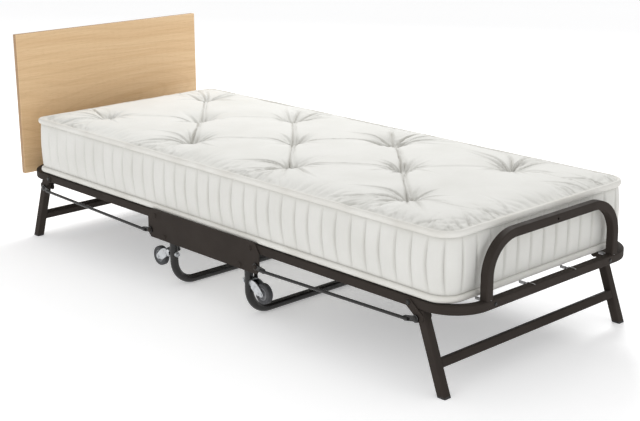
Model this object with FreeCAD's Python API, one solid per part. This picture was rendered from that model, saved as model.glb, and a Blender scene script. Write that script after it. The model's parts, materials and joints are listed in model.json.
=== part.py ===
import FreeCAD, Part
import math
import os

# Folding guest bed. X runs from the head (-) to the foot (+), Y across, Z up.
# Pieces are laid out about the middle of the carriage and the saved model is
# shifted along X, so that its origin is the bottom centre of the whole bed.
# "left" is the -Y side and "right" the +Y side, seen from the foot.

# ---- driving dimensions (mm) ----
frame_half_length = 975.0      # carriage middle to the outer face of an end rail
frame_half_width = 380.0       # outer face of the side rails
rail_bottom = 211.0            # height of the rails' underside above the floor
rail_size = 24.0               # square tube of the side rails and hoops
rail_wall = 1.6
bend_radius = 98.0             # centreline radius of the frame's corners
edge_radius = 3.0              # outer edge radius of the square tubes
fold_x = 220.0                 # half frame's pivot from the carriage middle
rail_tail = 34.0               # how far a side rail runs past its pivot

plate_gap = 1.0                # side rail to side plate
plate_thickness = 3.0
plate_rise = 8.0               # side plate's top above the rails
plate_drop = 59.0              # side plate's bottom below the rails
plate_top_reach = 18.0         # side plate's ends past the fold pivot, at the top
plate_bottom_reach = 37.0      # and lower down
plate_shoulder = 64.0          # height above the plate's bottom where its ends turn in
plate_toe = 12.0               # how far the ends turn in again at the bottom

cross_tube_x = 110.0
cross_tube_width = 25.0
cross_tube_height = 20.0
inner_tube_offset = 42.0       # tube that closes a half frame, from its fold pivot
inner_tube_drop = 1.0          # that tube's top below the rails' top

hoop_offset = 45.0             # centre leg's pivot inside the fold pivot
hoop_drop = 46.0               # centre leg's pivot below the rails
hoop_inset = 28.0              # centre leg's tube from the rails' outer face
hoop_diameter = 25.0
hoop_wall = 1.8
hoop_bend = 70.0
hoop_top = 14.0                # tube above the pivot
floor_gap = 0.4                # centre legs to the floor with nobody on the bed

leg_wall = 1.5
leg_splay = 20.2               # degrees from upright
leg_setback = 157.8            # leg's pivot from the end of the frame
leg_offset = 27.0              # leg's centreline from its pivot
leg_stop_gap = 0.3             # leg's cut top to the underside of the rail
leg_overrun = 60.0             # spare length of a leg before its ends are cut level
leg_bar_z = 78.0
leg_bar_size = 23.0
cap_sole = 5.0
cap_plug = 16.0
cap_gap = 0.1                  # cap's plug to the inside of the leg
bracket_thickness = 3.0
bracket_reach = 42.0           # how far down the leg its bracket is fixed
bracket_arm_radius = 11.0
bracket_rim = 3.0              # metal round the open hole of a bracket

rod_offset = 25.0              # rod's inner pivot past the fold pivot
rod_drop = 36.0                # rod's inner pivot below the rails
rod_pin_dx = 28.0              # rod's pin on the leg bracket, from the leg's pivot
rod_pin_dz = -35.0
rod_diameter = 9.0
rod_eye_radius = 10.0
rod_eye_thickness = 4.0
rod_neck = 7.2                 # half width of the flattened neck behind an eye
rod_flat = 34.0                # length of each flattened end
rod_overlap = 12.0             # round rod running into its flattened end
rod_dip = 6.0                  # how far the ends are cranked off the straight line

link_pin_dx = -21.8            # drive link's stud on the rail, from the fold pivot
link_pin_dz = -3.0
link_arm_dx = 5.5              # drive link's stud on the centre leg, from its pivot
link_arm_dz = -49.7
link_thickness = 3.0
link_width = 13.0
stud_radius = 3.5
stud_head_radius = 6.3
stud_head = 2.5

stem_drop = 58.0               # castor stem below the centre leg's pivot
stem_radius = 5.0
stem_tail = 6.0                # stem's thread past its nut
stem_rivet = 3.0               # stem's riveted end past the fork
stem_nut_radius = 8.4
collar_radius = 15.0
collar_foot = 11.25            # collar's smaller radius, at the centre leg
collar_length = 9.0
castor_reach = 65.0            # centre leg to wheel centre
castor_trail = 21.0
wheel_radius = 30.0
wheel_width = 18.0
tyre_shoulder = 4.0
hub_radius = 19.0
hub_recess = 1.5               # hub's faces inside the tyre's
hub_rim = 3.5
hub_web = 4.0                  # half thickness of the hub's dished web
boss_radius = 6.6
fork_wall = 2.5
fork_gap = 2.0                 # wheel to fork, each side
fork_cheek = 10.8              # half height of the fork's cheeks at the crown
fork_eye_radius = 8.0
fork_waist = 5.0               # how far the cheeks narrow short of the eye
axle_radius = 3.0
axle_head_radius = 4.8
axle_head = 2.0

bolt_radius = 4.0
bolt_head_radius = 7.5
bolt_dome_radius = 4.5         # flat top of a domed bolt head
bolt_head_height = 4.0
nut_radius = 7.0
nut_height = 5.0
low_bolt_head = 3.0
board_bolt_radius = 3.0
board_bolt_head_radius = 5.95
board_bolt_depth = 12.0        # how far a headboard bolt goes into the board
board_bolt_bottom = 0.2        # bottom of the board's hole past the bolt
running_gap = 0.08             # radial gap of a pin that turns
side_gap = 0.4                 # gap between faces that slide past each other
open_pin_gap = 5.0             # radial room round the pin of an opened linkage

guard_inset = 107.0            # guard hoop's outer face from the rails' outer face
guard_rise = 167.0             # top of the guard hoop above the rails
guard_bolt_inset = 21.0        # guard hoop's bolts from its leg's middle
guard_hole_radius = 3.5
board_hoop_rise = 117.0        # top of the headboard's hoop above the rails
board_hoop_bend = 60.0
board_width = 750.0
board_height = 476.0
board_thickness = 18.0
board_drop = 1.0               # board's bottom edge below the rails
board_standoff = 5.0           # steel strip between the frame and the board
strip_width = 44.0
strip_edge = 15.0              # strip above its upper bolt
strip_foot = 2.0               # strip's bottom above the rails' underside
strip_bolt_rise = 38.0         # upper bolt above the rails

deck_rise = 1.0                # deck's top above the rails
deck_thickness = 2.0
deck_side_gap = 38.0           # deck to the side rails
deck_end_gap = 39.0            # deck to the end rail
deck_inner_gap = 25.5          # deck to the tube that closes the half frame
hem_radius = 4.0
hem_wire_radius = 2.5
hem_wire_gap = 0.15
hem_notch = 20.0               # bare wire each way from a corner of the deck
hem_corner = 10.0              # radius of the wire's corners
spring_radius = 4.0
spring_hook_radius = 1.2
spring_hook = 7.0
springs_per_side = 7
springs_per_end = 4
spring_end_pitch = 171.7       # between the springs of an end rail

mattress_width = 750.0
mattress_height = 187.0
mattress_head_setback = 83.0   # mattress from the head end of the frame
mattress_foot_setback = 40.0   # and from its foot end
mattress_corner = 60.0
split_gap = 3.0                # where the halves of the mattress stop short of folding
soft_gap = 0.3

# ---- what follows from them ----
rail_top = rail_bottom + rail_size
rail_z = rail_bottom + rail_size / 2
rail_y = frame_half_width - rail_size / 2
rail_inner_y = frame_half_width - rail_size
rail_inner_end = fold_x - rail_tail
end_x = frame_half_length - rail_size / 2
end_inner_x = frame_half_length - rail_size
fold_z = rail_z
plate_top = rail_top + plate_rise
plate_bottom = rail_bottom - plate_drop
plate_half_top = fold_x + plate_top_reach
plate_half_bottom = fold_x + plate_bottom_reach
plate_y = frame_half_width + plate_gap
plate_outer_y = plate_y + plate_thickness
inner_tube_x = fold_x + inner_tube_offset
hoop_x = fold_x - hoop_offset
hoop_z = rail_bottom - hoop_drop
hoop_y = frame_half_width - hoop_inset
hoop_radius = hoop_diameter / 2
leg_size = rail_size + 2 * side_gap
leg_pivot_x = frame_half_length - leg_setback
leg_pivot_z = rail_z
outer_bracket_y = frame_half_width + side_gap
inner_bracket_y = rail_inner_y - side_gap - bracket_thickness
rod_inner_x = fold_x + rod_offset
rod_inner_z = rail_bottom - rod_drop
rod_outer_x = leg_pivot_x + rod_pin_dx
rod_outer_z = leg_pivot_z + rod_pin_dz
rod_eye_y = plate_outer_y + side_gap
rod_y = rod_eye_y + side_gap + rod_diameter / 2
stem_z = hoop_z - stem_drop
wheel_x = hoop_x + castor_reach
wheel_z = stem_z - castor_trail
hoop_tip_y = hoop_y - hoop_radius - side_gap - nut_height
link_y = hoop_tip_y - side_gap - link_thickness
guard_y = frame_half_width - guard_inset - rail_size / 2
guard_bolt_y = guard_y - guard_bolt_inset
board_front = frame_half_length + board_standoff
board_bottom = rail_bottom - board_drop
board_top = board_bottom + board_height
strip_bolt_z = rail_top + strip_bolt_rise
deck_top = rail_top + deck_rise
deck_half_width = rail_inner_y - deck_side_gap
deck_inner_x = inner_tube_x + cross_tube_width / 2 + deck_inner_gap
deck_outer_x = end_inner_x - deck_end_gap
hem_z = deck_top - deck_thickness / 2 - hem_radius
mattress_bottom = deck_top + soft_gap
mattress_head_x = frame_half_length - mattress_head_setback
mattress_foot_x = frame_half_length - mattress_foot_setback
mattress_split = fold_x + (deck_top - fold_z) + split_gap
head_end_x = board_front + board_thickness
foot_end_x = frame_half_length + low_bolt_head
row_shift = (head_end_x - foot_end_x) / 2
splay = math.radians(leg_splay)
cut_margin = 1.0               # cutting tools stand this far past what they cut
wide = 3 * frame_half_length   # larger than the bed

X = FreeCAD.Vector(1, 0, 0)
Y = FreeCAD.Vector(0, 1, 0)
Z = FreeCAD.Vector(0, 0, 1)


# ---- helpers ----
def vec(x, y, z):
    return FreeCAD.Vector(x, y, z)


def box(x0, x1, y0, y1, z0, z1):
    return Part.makeBox(x1 - x0, y1 - y0, z1 - z0, vec(x0, y0, z0))


def rod_between(start, end, radius):
    run = end - start
    return Part.makeCylinder(radius, run.Length, start, run)


def cylinder_y(x, z, radius, y0, y1):
    return Part.makeCylinder(radius, y1 - y0, vec(x, y0, z), Y)


def cylinder_x(y, z, radius, x0, x1):
    return Part.makeCylinder(radius, x1 - x0, vec(x0, y, z), X)


def fuse(shapes):
    whole = shapes[0]
    if len(shapes) > 1:
        whole = whole.multiFuse(shapes[1:])
    return whole.removeSplitter()


def bent_path(points, radius):
    """A wire of straight runs joined by tangent arcs of one radius."""
    edges = []
    start = points[0]
    for i in range(1, len(points) - 1):
        to_start = (points[i - 1] - points[i]).normalize()
        to_end = (points[i + 1] - points[i]).normalize()
        half = to_start.getAngle(to_end) / 2
        back = radius / math.tan(half)
        a = points[i] + to_start * back
        b = points[i] + to_end * back
        towards_centre = (to_start + to_end).normalize()
        mid = points[i] + towards_centre * (radius / math.sin(half) - radius)
        edges.append(Part.LineSegment(start, a).toShape())
        edges.append(Part.Arc(a, mid, b).toShape())
        start = b
    edges.append(Part.LineSegment(start, points[-1]).toShape())
    return Part.Wire(edges)


def square_wire(centre, side, u, v, corner):
    """A square outline with rounded corners, in the plane of u and v."""
    h = side / 2
    k = h - corner
    cut = corner * (1 - math.sqrt(0.5))
    edges = []
    for q in range(4):
        c, s = ((1, 0), (0, 1), (-1, 0), (0, -1))[q]
        p = u * c + v * s
        r = v * c - u * s
        edges.append(Part.LineSegment(centre + p * h - r * k, centre + p * h + r * k).toShape())
        corner_mid = centre + p * (h - cut) + r * (h - cut)
        edges.append(Part.Arc(centre + p * h + r * k, corner_mid, centre + p * k + r * h).toShape())
    return Part.Wire(edges)


def sweep(path, outline, normal):
    maker = Part.BRepOffsetAPI.MakePipeShell(path)
    maker.setBiNormalMode(normal)
    maker.add(outline)
    maker.build()
    maker.makeSolid()
    return maker.shape()


def square_tube(points, radius, side, wall, normal):
    path = bent_path(points, radius)
    along = (points[1] - points[0]).normalize()
    across = along.cross(normal)
    outer = sweep(path, square_wire(points[0], side, across, normal, edge_radius), normal)
    inner_corner = edge_radius - wall
    inner = sweep(path, square_wire(points[0], side - 2 * wall, across, normal, inner_corner), normal)
    return outer.cut(inner)


def round_tube(points, radius, diameter, wall, normal):
    path = bent_path(points, radius)
    along = points[1] - points[0]
    solids = []
    for r in (diameter / 2, diameter / 2 - wall):
        outline = Part.Wire([Part.Circle(points[0], along, r).toShape()])
        solids.append(sweep(path, outline, normal))
    return solids[0].cut(solids[1])


def stadium_xz(a, b, radius, y0, y1):
    """A flat bar with round ends, from point a to point b in the XZ plane."""
    run = vec(b[0] - a[0], 0, b[1] - a[1])
    side = run.cross(Y).normalize() * radius
    pa = vec(a[0], y0, a[1])
    pb = vec(b[0], y0, b[1])
    outline = Part.makePolygon([pa + side, pb + side, pb - side, pa - side, pa + side])
    bar = Part.Face(outline).extrude(vec(0, y1 - y0, 0))
    ends = [cylinder_y(p[0], p[1], radius, y0, y1) for p in (a, b)]
    return fuse([bar] + ends)


def head_bolt(x, z, y_head, y_tip, radius=bolt_radius, head=bolt_head_height):
    """A bolt along Y with a low domed head outside and a plain shank."""
    shank = cylinder_y(x, z, radius, y_tip, y_head)
    dome = Part.makeCone(bolt_head_radius, bolt_dome_radius, head, vec(x, y_head, z), Y)
    return fuse([shank, dome])


def nut_y(x, z, y0, height=nut_height, bore=bolt_radius):
    """A hexagon nut along Y, starting at y0."""
    corners = []
    for i in range(7):
        turn = math.radians(60 * i + 30)
        corners.append(vec(x + nut_radius * math.cos(turn), y0, z + nut_radius * math.sin(turn)))
    body = Part.Face(Part.makePolygon(corners)).extrude(vec(0, height, 0))
    return body.cut(cylinder_y(x, z, bore, y0 - cut_margin, y0 + height + cut_margin))


def mirror_x(shape):
    return shape.mirror(vec(0, 0, 0), X)


def mirror_y(shape):
    return shape.mirror(vec(0, 0, 0), Y)


def both_sides(solids):
    return solids + [mirror_y(s) for s in solids]


nodes = {}


def keep(name, shapes):
    if not isinstance(shapes, list):
        shapes = [shapes]
    nodes[name] = shapes


def keep_pair(name, foot_shapes):
    """Keep a piece of the foot half and its mirror image in the head half."""
    if not isinstance(foot_shapes, list):
        foot_shapes = [foot_shapes]
    keep("foot_" + name, foot_shapes)
    keep("head_" + name, [mirror_x(s) for s in foot_shapes])


# ---- carriage: side plates, cross tubes and the pins they carry ----
def side_plate():
    outline = [
        (-plate_half_top, plate_top), (plate_half_top, plate_top),
        (plate_half_bottom, plate_bottom + plate_shoulder),
        (plate_half_bottom, plate_bottom + plate_toe),
        (plate_half_bottom - plate_toe, plate_bottom), (plate_toe - plate_half_bottom, plate_bottom),
        (-plate_half_bottom, plate_bottom + plate_toe),
        (-plate_half_bottom, plate_bottom + plate_shoulder),
    ]
    points = [vec(x, plate_y, z) for x, z in outline]
    plate = Part.Face(Part.makePolygon(points + points[:1])).extrude(vec(0, plate_thickness, 0))
    for side in (-1, 1):
        holes = [(fold_x, fold_z), (hoop_x, hoop_z), (rod_inner_x, rod_inner_z)]
        for x, z in holes:
            bore = cylinder_y(side * x, z, bolt_radius + running_gap,
                              plate_y - cut_margin, plate_outer_y + cut_margin)
            plate = plate.cut(bore)
    return plate


def cross_tube(x, half_width, width, height, top):
    body = box(x - width / 2, x + width / 2, -half_width, half_width, top - height, top)
    hollow = box(x - width / 2 + rail_wall, x + width / 2 - rail_wall, -half_width, half_width,
                 top - height + rail_wall, top - rail_wall)
    return body.cut(hollow)


def carriage():
    plate = side_plate()
    keep("side_plate_right", plate)
    keep("side_plate_left", mirror_y(plate))
    for end, side in (("head", -1), ("foot", 1)):
        tube = cross_tube(side * cross_tube_x, plate_y, cross_tube_width, cross_tube_height, deck_top)
        keep(end + "_carriage_tube", tube)
    fold_tip = rail_inner_y - side_gap - nut_height
    rod_tip = plate_y - side_gap - nut_height
    bolts = []
    nuts = []
    bushes = []
    for side in (-1, 1):
        bolts.append(head_bolt(side * fold_x, fold_z, plate_outer_y, fold_tip))
        bolts.append(head_bolt(side * hoop_x, hoop_z, plate_outer_y, hoop_tip_y))
        rod_head = rod_eye_y + rod_eye_thickness + side_gap
        bolts.append(head_bolt(side * rod_inner_x, rod_inner_z, rod_head, rod_tip))
        nuts.append(nut_y(side * fold_x, fold_z, fold_tip))
        nuts.append(nut_y(side * hoop_x, hoop_z, hoop_tip_y))
        nuts.append(nut_y(side * rod_inner_x, rod_inner_z, rod_tip))
        bush_start = hoop_y + hoop_radius + side_gap
        ring = cylinder_y(side * hoop_x, hoop_z, bolt_head_radius, bush_start, plate_y)
        bore = cylinder_y(side * hoop_x, hoop_z, bolt_radius + running_gap, bush_start, plate_y)
        bushes.append(ring.cut(bore))
    keep("carriage_bolts", both_sides(bolts + nuts))
    keep("centre_leg_bushes", both_sides(bushes))


# ---- half frames ----
def side_rail():
    points = [vec(rail_inner_end, rail_y, rail_z), vec(end_x, rail_y, rail_z),
              vec(end_x, -rail_y, rail_z), vec(rail_inner_end, -rail_y, rail_z)]
    rail = square_tube(points, bend_radius, rail_size, rail_wall, Z)
    stud_start = link_y + link_thickness + side_gap
    stud = cylinder_y(fold_x + link_pin_dx, fold_z + link_pin_dz, stud_radius,
                      stud_start, rail_inner_y + rail_wall / 2)
    rail = fuse([rail] + both_sides([stud]))
    for side in (-1, 1):
        y0, y1 = sorted((side * (rail_inner_y - cut_margin), side * (frame_half_width + cut_margin)))
        for x in (fold_x, leg_pivot_x):
            rail = rail.cut(cylinder_y(x, rail_z, bolt_radius + running_gap, y0, y1))
        bore = cylinder_x(side * guard_bolt_y, rail_z, board_bolt_radius + running_gap,
                          end_inner_x - cut_margin, frame_half_length + cut_margin)
        rail = rail.cut(bore)
    return rail


def leg_pivot_pins():
    tip = inner_bracket_y - side_gap - nut_height
    head_y = outer_bracket_y + bracket_thickness + side_gap
    pins = [head_bolt(leg_pivot_x, leg_pivot_z, head_y, tip, head=low_bolt_head)]
    pins.append(nut_y(leg_pivot_x, leg_pivot_z, tip))
    return both_sides(pins)


def end_hoop(rise, bend):
    """A hoop of square tube that stands on an end rail."""
    top = rail_top + rise - rail_size / 2
    points = [vec(end_x, -guard_y, rail_top), vec(end_x, -guard_y, top),
              vec(end_x, guard_y, top), vec(end_x, guard_y, rail_top)]
    return square_tube(points, bend, rail_size, rail_wall, X)


def guard_hoop():
    hoop = end_hoop(guard_rise, bend_radius)
    top = rail_top + guard_rise - rail_size / 2
    return hoop.cut(cylinder_x(0, top, guard_hole_radius, end_x, frame_half_length + cut_margin))


def guard_bolts():
    bolts = []
    start = end_inner_x - bolt_head_height
    for y in (-guard_bolt_y, guard_bolt_y):
        shank = cylinder_x(y, rail_z, board_bolt_radius, start, frame_half_length)
        dome = Part.makeCone(board_bolt_head_radius, guard_hole_radius, low_bolt_head,
                             vec(frame_half_length, y, rail_z), X)
        back = cylinder_x(y, rail_z, board_bolt_head_radius, start, end_inner_x)
        bolts.append(fuse([shank, dome, back]))
    return bolts


def deck():
    """Woven cloth with a hem tube on each side, round a wire frame."""
    z = hem_z
    sheet = box(deck_inner_x, deck_outer_x, -deck_half_width, deck_half_width,
                deck_top - deck_thickness, deck_top)
    mid_x = (deck_inner_x + deck_outer_x) / 2
    half_x = (deck_outer_x - deck_inner_x) / 2
    notches = []
    hems = []
    hollows = []
    for sx in (-1, 1):
        for sy in (-1, 1):
            cx = mid_x + sx * half_x
            cy = sy * deck_half_width
            notches.append(box(cx - hem_notch, cx + hem_notch, cy - hem_notch, cy + hem_notch,
                               hem_z - hem_radius - cut_margin, deck_top + cut_margin))
    for s in (-1, 1):
        x = mid_x + s * half_x
        y = s * deck_half_width
        reach_y = deck_half_width - hem_notch
        reach_x = half_x - hem_notch
        hems.append(rod_between(vec(x, -reach_y, z), vec(x, reach_y, z), hem_radius))
        hems.append(rod_between(vec(mid_x - reach_x, y, z), vec(mid_x + reach_x, y, z), hem_radius))
        bore = hem_wire_radius + hem_wire_gap
        hollows.append(rod_between(vec(x, -deck_half_width, z), vec(x, deck_half_width, z), bore))
        hollows.append(rod_between(vec(deck_inner_x, y, z), vec(deck_outer_x, y, z), bore))
    for notch in notches:
        sheet = sheet.cut(notch)
    cloth = fuse([sheet] + hems)
    for hollow in hollows:
        cloth = cloth.cut(hollow)
    ring = [vec(mid_x, -deck_half_width, z), vec(deck_outer_x, -deck_half_width, z),
            vec(deck_outer_x, deck_half_width, z), vec(deck_inner_x, deck_half_width, z),
            vec(deck_inner_x, -deck_half_width, z), vec(mid_x, -deck_half_width, z)]
    path = bent_path(ring, hem_corner)
    outline = Part.Wire([Part.Circle(ring[0], X, hem_wire_radius).toShape()])
    return cloth, sweep(path, outline, Z)


def spring(outer, inner):
    """A tension spring as its envelope, with a hook at each end."""
    run = inner - outer
    step = run / run.Length
    body = rod_between(outer + step * spring_hook, inner - step * spring_hook, spring_radius)
    return fuse([body, rod_between(outer, inner, spring_hook_radius)])


def deck_springs():
    springs = []
    z = hem_z
    reach = hem_radius + soft_gap
    length = deck_outer_x - deck_inner_x
    for i in range(springs_per_side):
        x = deck_inner_x + length * (i + 0.5) / springs_per_side
        for s in (-1, 1):
            hook = s * (deck_half_width + reach)
            springs.append(spring(vec(x, s * rail_inner_y, z), vec(x, hook, z)))
    for i in range(springs_per_end):
        y = spring_end_pitch * (i - (springs_per_end - 1) / 2)
        springs.append(spring(vec(end_inner_x, y, z), vec(deck_outer_x + reach, y, z)))
        inner_face = inner_tube_x + cross_tube_width / 2
        springs.append(spring(vec(inner_face, y, z), vec(deck_inner_x - reach, y, z)))
    return springs


def half_frames():
    keep_pair("side_rail", side_rail())
    tube = cross_tube(inner_tube_x, rail_inner_y, cross_tube_width, cross_tube_height,
                      rail_top - inner_tube_drop)
    keep_pair("inner_tube", tube)
    keep_pair("leg_pivot_pins", leg_pivot_pins())
    keep("foot_guard_hoop", guard_hoop())
    keep("foot_guard_bolts", guard_bolts())
    keep("headboard_hoop", mirror_x(end_hoop(board_hoop_rise, board_hoop_bend)))
    cloth, wire = deck()
    keep_pair("deck", cloth)
    keep_pair("hem_wire", wire)
    keep_pair("deck_springs", deck_springs())


# ---- headboard ----
def headboard():
    """The board, with two steel strips and four bolts that join it to the frame's head end."""
    front = -board_front
    board = box(front - board_thickness, front, -board_width / 2, board_width / 2, board_bottom, board_top)
    strips = []
    bolts = []
    for s in (-1, 1):
        middle = s * (guard_y + guard_bolt_y) / 2
        strip = box(front, -frame_half_length, middle - strip_width / 2, middle + strip_width / 2,
                    rail_bottom + strip_foot, strip_bolt_z + strip_edge)
        for y, z in ((s * guard_bolt_y, rail_z), (s * guard_y, strip_bolt_z)):
            tip = front - board_bolt_depth
            shank = cylinder_x(y, z, board_bolt_radius, tip, -end_inner_x)
            dome = cylinder_x(y, z, board_bolt_head_radius, -end_inner_x, low_bolt_head - end_inner_x)
            bolts.append(fuse([shank, dome]))
            bore = cylinder_x(y, z, board_bolt_radius + running_gap, tip - board_bolt_bottom, -end_inner_x)
            board = board.cut(bore)
            strip = strip.cut(bore)
            for name in ("headboard_hoop", "head_side_rail"):
                nodes[name] = [nodes[name][0].cut(bore)]
        strips.append(strip)
    keep("headboard", board)
    keep("headboard_strips", strips)
    keep("headboard_bolts", bolts)


# ---- end legs ----
def leg_local(x, y, z):
    """From the leg's own frame (pivot at the origin, leg straight down) to the bed's."""
    c = math.cos(splay)
    s = math.sin(splay)
    return vec(leg_pivot_x + x * c - z * s, y, leg_pivot_z + x * s + z * c)


def leg_ends(y):
    """Points past both ends of a leg's centreline."""
    length = leg_pivot_z / math.cos(splay) + leg_overrun
    return leg_local(leg_offset, y, rail_size), leg_local(leg_offset, y, -length)


def cut_level(shape, bottom, top):
    return shape.common(box(0, wide, -wide, wide, bottom, top))


def leg_stick(y, side, wall, top, bottom):
    """A straight square tube along the leg, cut level at both ends."""
    a, b = leg_ends(y)
    return cut_level(square_tube([a, b], 1, side, wall, Y), bottom, top)


def leg_plug(y, side, top, bottom, corner):
    a, b = leg_ends(y)
    outline = square_wire(a, side, (b - a).normalize().cross(Y), Y, corner)
    return cut_level(Part.Face(outline).extrude(b - a), bottom, top)


def leg_brackets():
    foot = leg_local(leg_offset, 0, -bracket_reach)
    open_radius = stud_radius + open_pin_gap
    brackets = []
    for y0 in (inner_bracket_y, outer_bracket_y):
        y1 = y0 + bracket_thickness
        arm = stadium_xz((leg_pivot_x, leg_pivot_z), (foot.x, foot.z), bracket_arm_radius, y0, y1)
        ear = stadium_xz((rod_outer_x, rod_outer_z), (foot.x, foot.z), open_radius + bracket_rim, y0, y1)
        plate = fuse([arm, ear])
        plate = plate.cut(cylinder_y(leg_pivot_x, leg_pivot_z, bolt_radius + running_gap,
                                     y0 - cut_margin, y1 + cut_margin))
        if y0 > rail_y:
            plate = plate.cut(cylinder_y(rod_outer_x, rod_outer_z, open_radius,
                                         y0 - cut_margin, y1 + cut_margin))
        brackets.append(plate)
    return both_sides(brackets)


def end_legs():
    leg = leg_stick(rail_y, leg_size, leg_wall, rail_bottom - leg_stop_gap, cap_sole)
    keep_pair("leg_right", leg)
    keep_pair("leg_left", mirror_y(leg))
    keep_pair("leg_brackets", leg_brackets())
    half = rail_y - leg_size / 2
    bar_drop = (leg_pivot_z - leg_bar_z + leg_offset * math.sin(splay)) / math.cos(splay)
    bar_ends = [leg_local(leg_offset, s * half, -bar_drop) for s in (-1, 1)]
    down = (leg_local(0, 0, -1) - leg_local(0, 0, 0)).normalize()
    keep_pair("leg_bar", square_tube(bar_ends, 1, leg_bar_size, leg_wall, down))
    sole = leg_plug(rail_y, leg_size, cap_sole, 0, edge_radius)
    inner_side = leg_size - 2 * (leg_wall + cap_gap)
    plug = leg_plug(rail_y, inner_side, cap_sole + cap_plug, cap_sole, edge_radius - leg_wall)
    keep_pair("leg_caps", both_sides([fuse([sole, plug])]))


# ---- leg rods ----
def leg_rod():
    inner = vec(rod_inner_x, rod_eye_y, rod_inner_z)
    outer = vec(rod_outer_x, rod_eye_y, rod_outer_z)
    run = (outer - inner).normalize()
    down = vec(run.z, 0, -run.x) * rod_dip
    a = inner + run * rod_flat + down
    b = outer - run * rod_flat + down
    y1 = rod_eye_y + rod_eye_thickness
    eyes = []
    for eye, tip in ((inner, a), (outer, b)):
        eyes.append(cylinder_y(eye.x, eye.z, rod_eye_radius, rod_eye_y, y1))
        eyes.append(stadium_xz((eye.x, eye.z), (tip.x, tip.z), rod_neck, rod_eye_y, y1))
    lift = vec(0, rod_y - rod_eye_y, 0)
    overlap = run * rod_overlap
    bar = rod_between(a - overlap + lift, b + overlap + lift, rod_diameter / 2)
    rod = fuse(eyes + [bar])
    for eye, radius in ((inner, bolt_radius), (outer, stud_radius)):
        rod = rod.cut(cylinder_y(eye.x, eye.z, radius + running_gap,
                                 rod_eye_y - cut_margin, y1 + rod_diameter))
    return rod


def leg_rods():
    keep_pair("leg_rods", both_sides([leg_rod()]))
    pin = head_bolt(rod_outer_x, rod_outer_z, rod_eye_y + rod_eye_thickness, outer_bracket_y,
                    radius=stud_radius, head=low_bolt_head)
    keep_pair("rod_pins", both_sides([pin]))


# ---- centre legs ----
def centre_leg():
    top = hoop_z + hoop_top
    low = hoop_radius + floor_gap
    points = [vec(hoop_x, hoop_y, top), vec(hoop_x, hoop_y, low),
              vec(hoop_x, -hoop_y, low), vec(hoop_x, -hoop_y, top)]
    hoop = round_tube(points, hoop_bend, hoop_diameter, hoop_wall, X)
    r = hoop_radius + cut_margin
    for s in (-1, 1):
        y0, y1 = sorted((s * (hoop_y - r), s * (hoop_y + r)))
        hoop = hoop.cut(cylinder_y(hoop_x, hoop_z, bolt_radius + running_gap, y0, y1))
        hoop = hoop.cut(cylinder_x(s * hoop_y, stem_z, stem_radius + running_gap, hoop_x - r, hoop_x + r))
    return hoop


def centre_legs():
    arm_x = hoop_x + link_arm_dx
    arm_z = hoop_z + link_arm_dz
    # the stud's end is shaped to the round tube that it is welded on
    half = hoop_diameter
    bore = Part.makeCylinder(hoop_radius - hoop_wall / 2, 2 * half, vec(hoop_x, hoop_y, arm_z - half), Z)
    stud = cylinder_y(arm_x, arm_z, stud_radius, link_y - side_gap, hoop_y).cut(bore)
    head = cylinder_y(arm_x, arm_z, stud_head_radius, link_y - side_gap - stud_head, link_y - side_gap)
    keep_pair("centre_leg", fuse([centre_leg()] + both_sides([stud, head])))
    link = stadium_xz((arm_x, arm_z), (fold_x + link_pin_dx, fold_z + link_pin_dz),
                      link_width / 2, link_y, link_y + link_thickness)
    link = link.cut(cylinder_y(arm_x, arm_z, stud_radius + running_gap,
                               link_y - cut_margin, link_y + link_thickness + cut_margin))
    keep_pair("drive_links", both_sides([link]))


# ---- castors ----
crown_x = hoop_x + hoop_radius + side_gap + collar_length + side_gap
fork_reach = wheel_width / 2 + fork_gap + fork_wall


def castor_stem():
    """Stem through the centre leg, with its collar outside and its nut inside."""
    face = hoop_x + hoop_radius + side_gap
    back = hoop_x - hoop_radius - nut_height
    pin = cylinder_x(hoop_y, stem_z, stem_radius, back - stem_tail,
                     face + collar_length + fork_wall + stem_rivet)
    collar = Part.makeCone(collar_foot, collar_radius, collar_length, vec(face, hoop_y, stem_z), X)
    nut = Part.makeCylinder(stem_nut_radius, nut_height, vec(back, hoop_y, stem_z), X)
    return fuse([pin, collar, nut])


def castor_fork():
    """Bent steel fork: a round crown on the stem and two swept cheeks."""
    cheek = wheel_width / 2 + fork_gap
    crown = Part.makeCylinder(collar_radius, fork_wall, vec(crown_x, hoop_y, stem_z), X)
    cheeks = []
    for s in (-1, 1):
        y0, y1 = sorted((hoop_y + s * cheek, hoop_y + s * fork_reach))
        outline = [vec(crown_x, y0, stem_z + fork_cheek), vec(crown_x, y0, stem_z - fork_cheek),
                   vec(wheel_x - fork_waist, y0, wheel_z - fork_waist),
                   vec(wheel_x + fork_waist, y0, wheel_z - fork_waist),
                   vec(wheel_x + fork_waist, y0, wheel_z + fork_waist)]
        plate = Part.Face(Part.makePolygon(outline + outline[:1])).extrude(vec(0, y1 - y0, 0))
        eye = cylinder_y(wheel_x, wheel_z, fork_eye_radius, y0, y1)
        cheeks.append(fuse([plate, eye]))
    bridge = box(crown_x, crown_x + fork_wall, hoop_y - fork_reach, hoop_y + fork_reach,
                 stem_z - fork_cheek, stem_z + fork_cheek)
    fork = fuse([crown, bridge] + cheeks)
    fork = fork.cut(cylinder_x(hoop_y, stem_z, stem_radius + running_gap,
                               crown_x - cut_margin, crown_x + fork_wall + cut_margin))
    return fork.cut(cylinder_y(wheel_x, wheel_z, axle_radius,
                               hoop_y - fork_reach - cut_margin, hoop_y + fork_reach + cut_margin))


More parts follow.
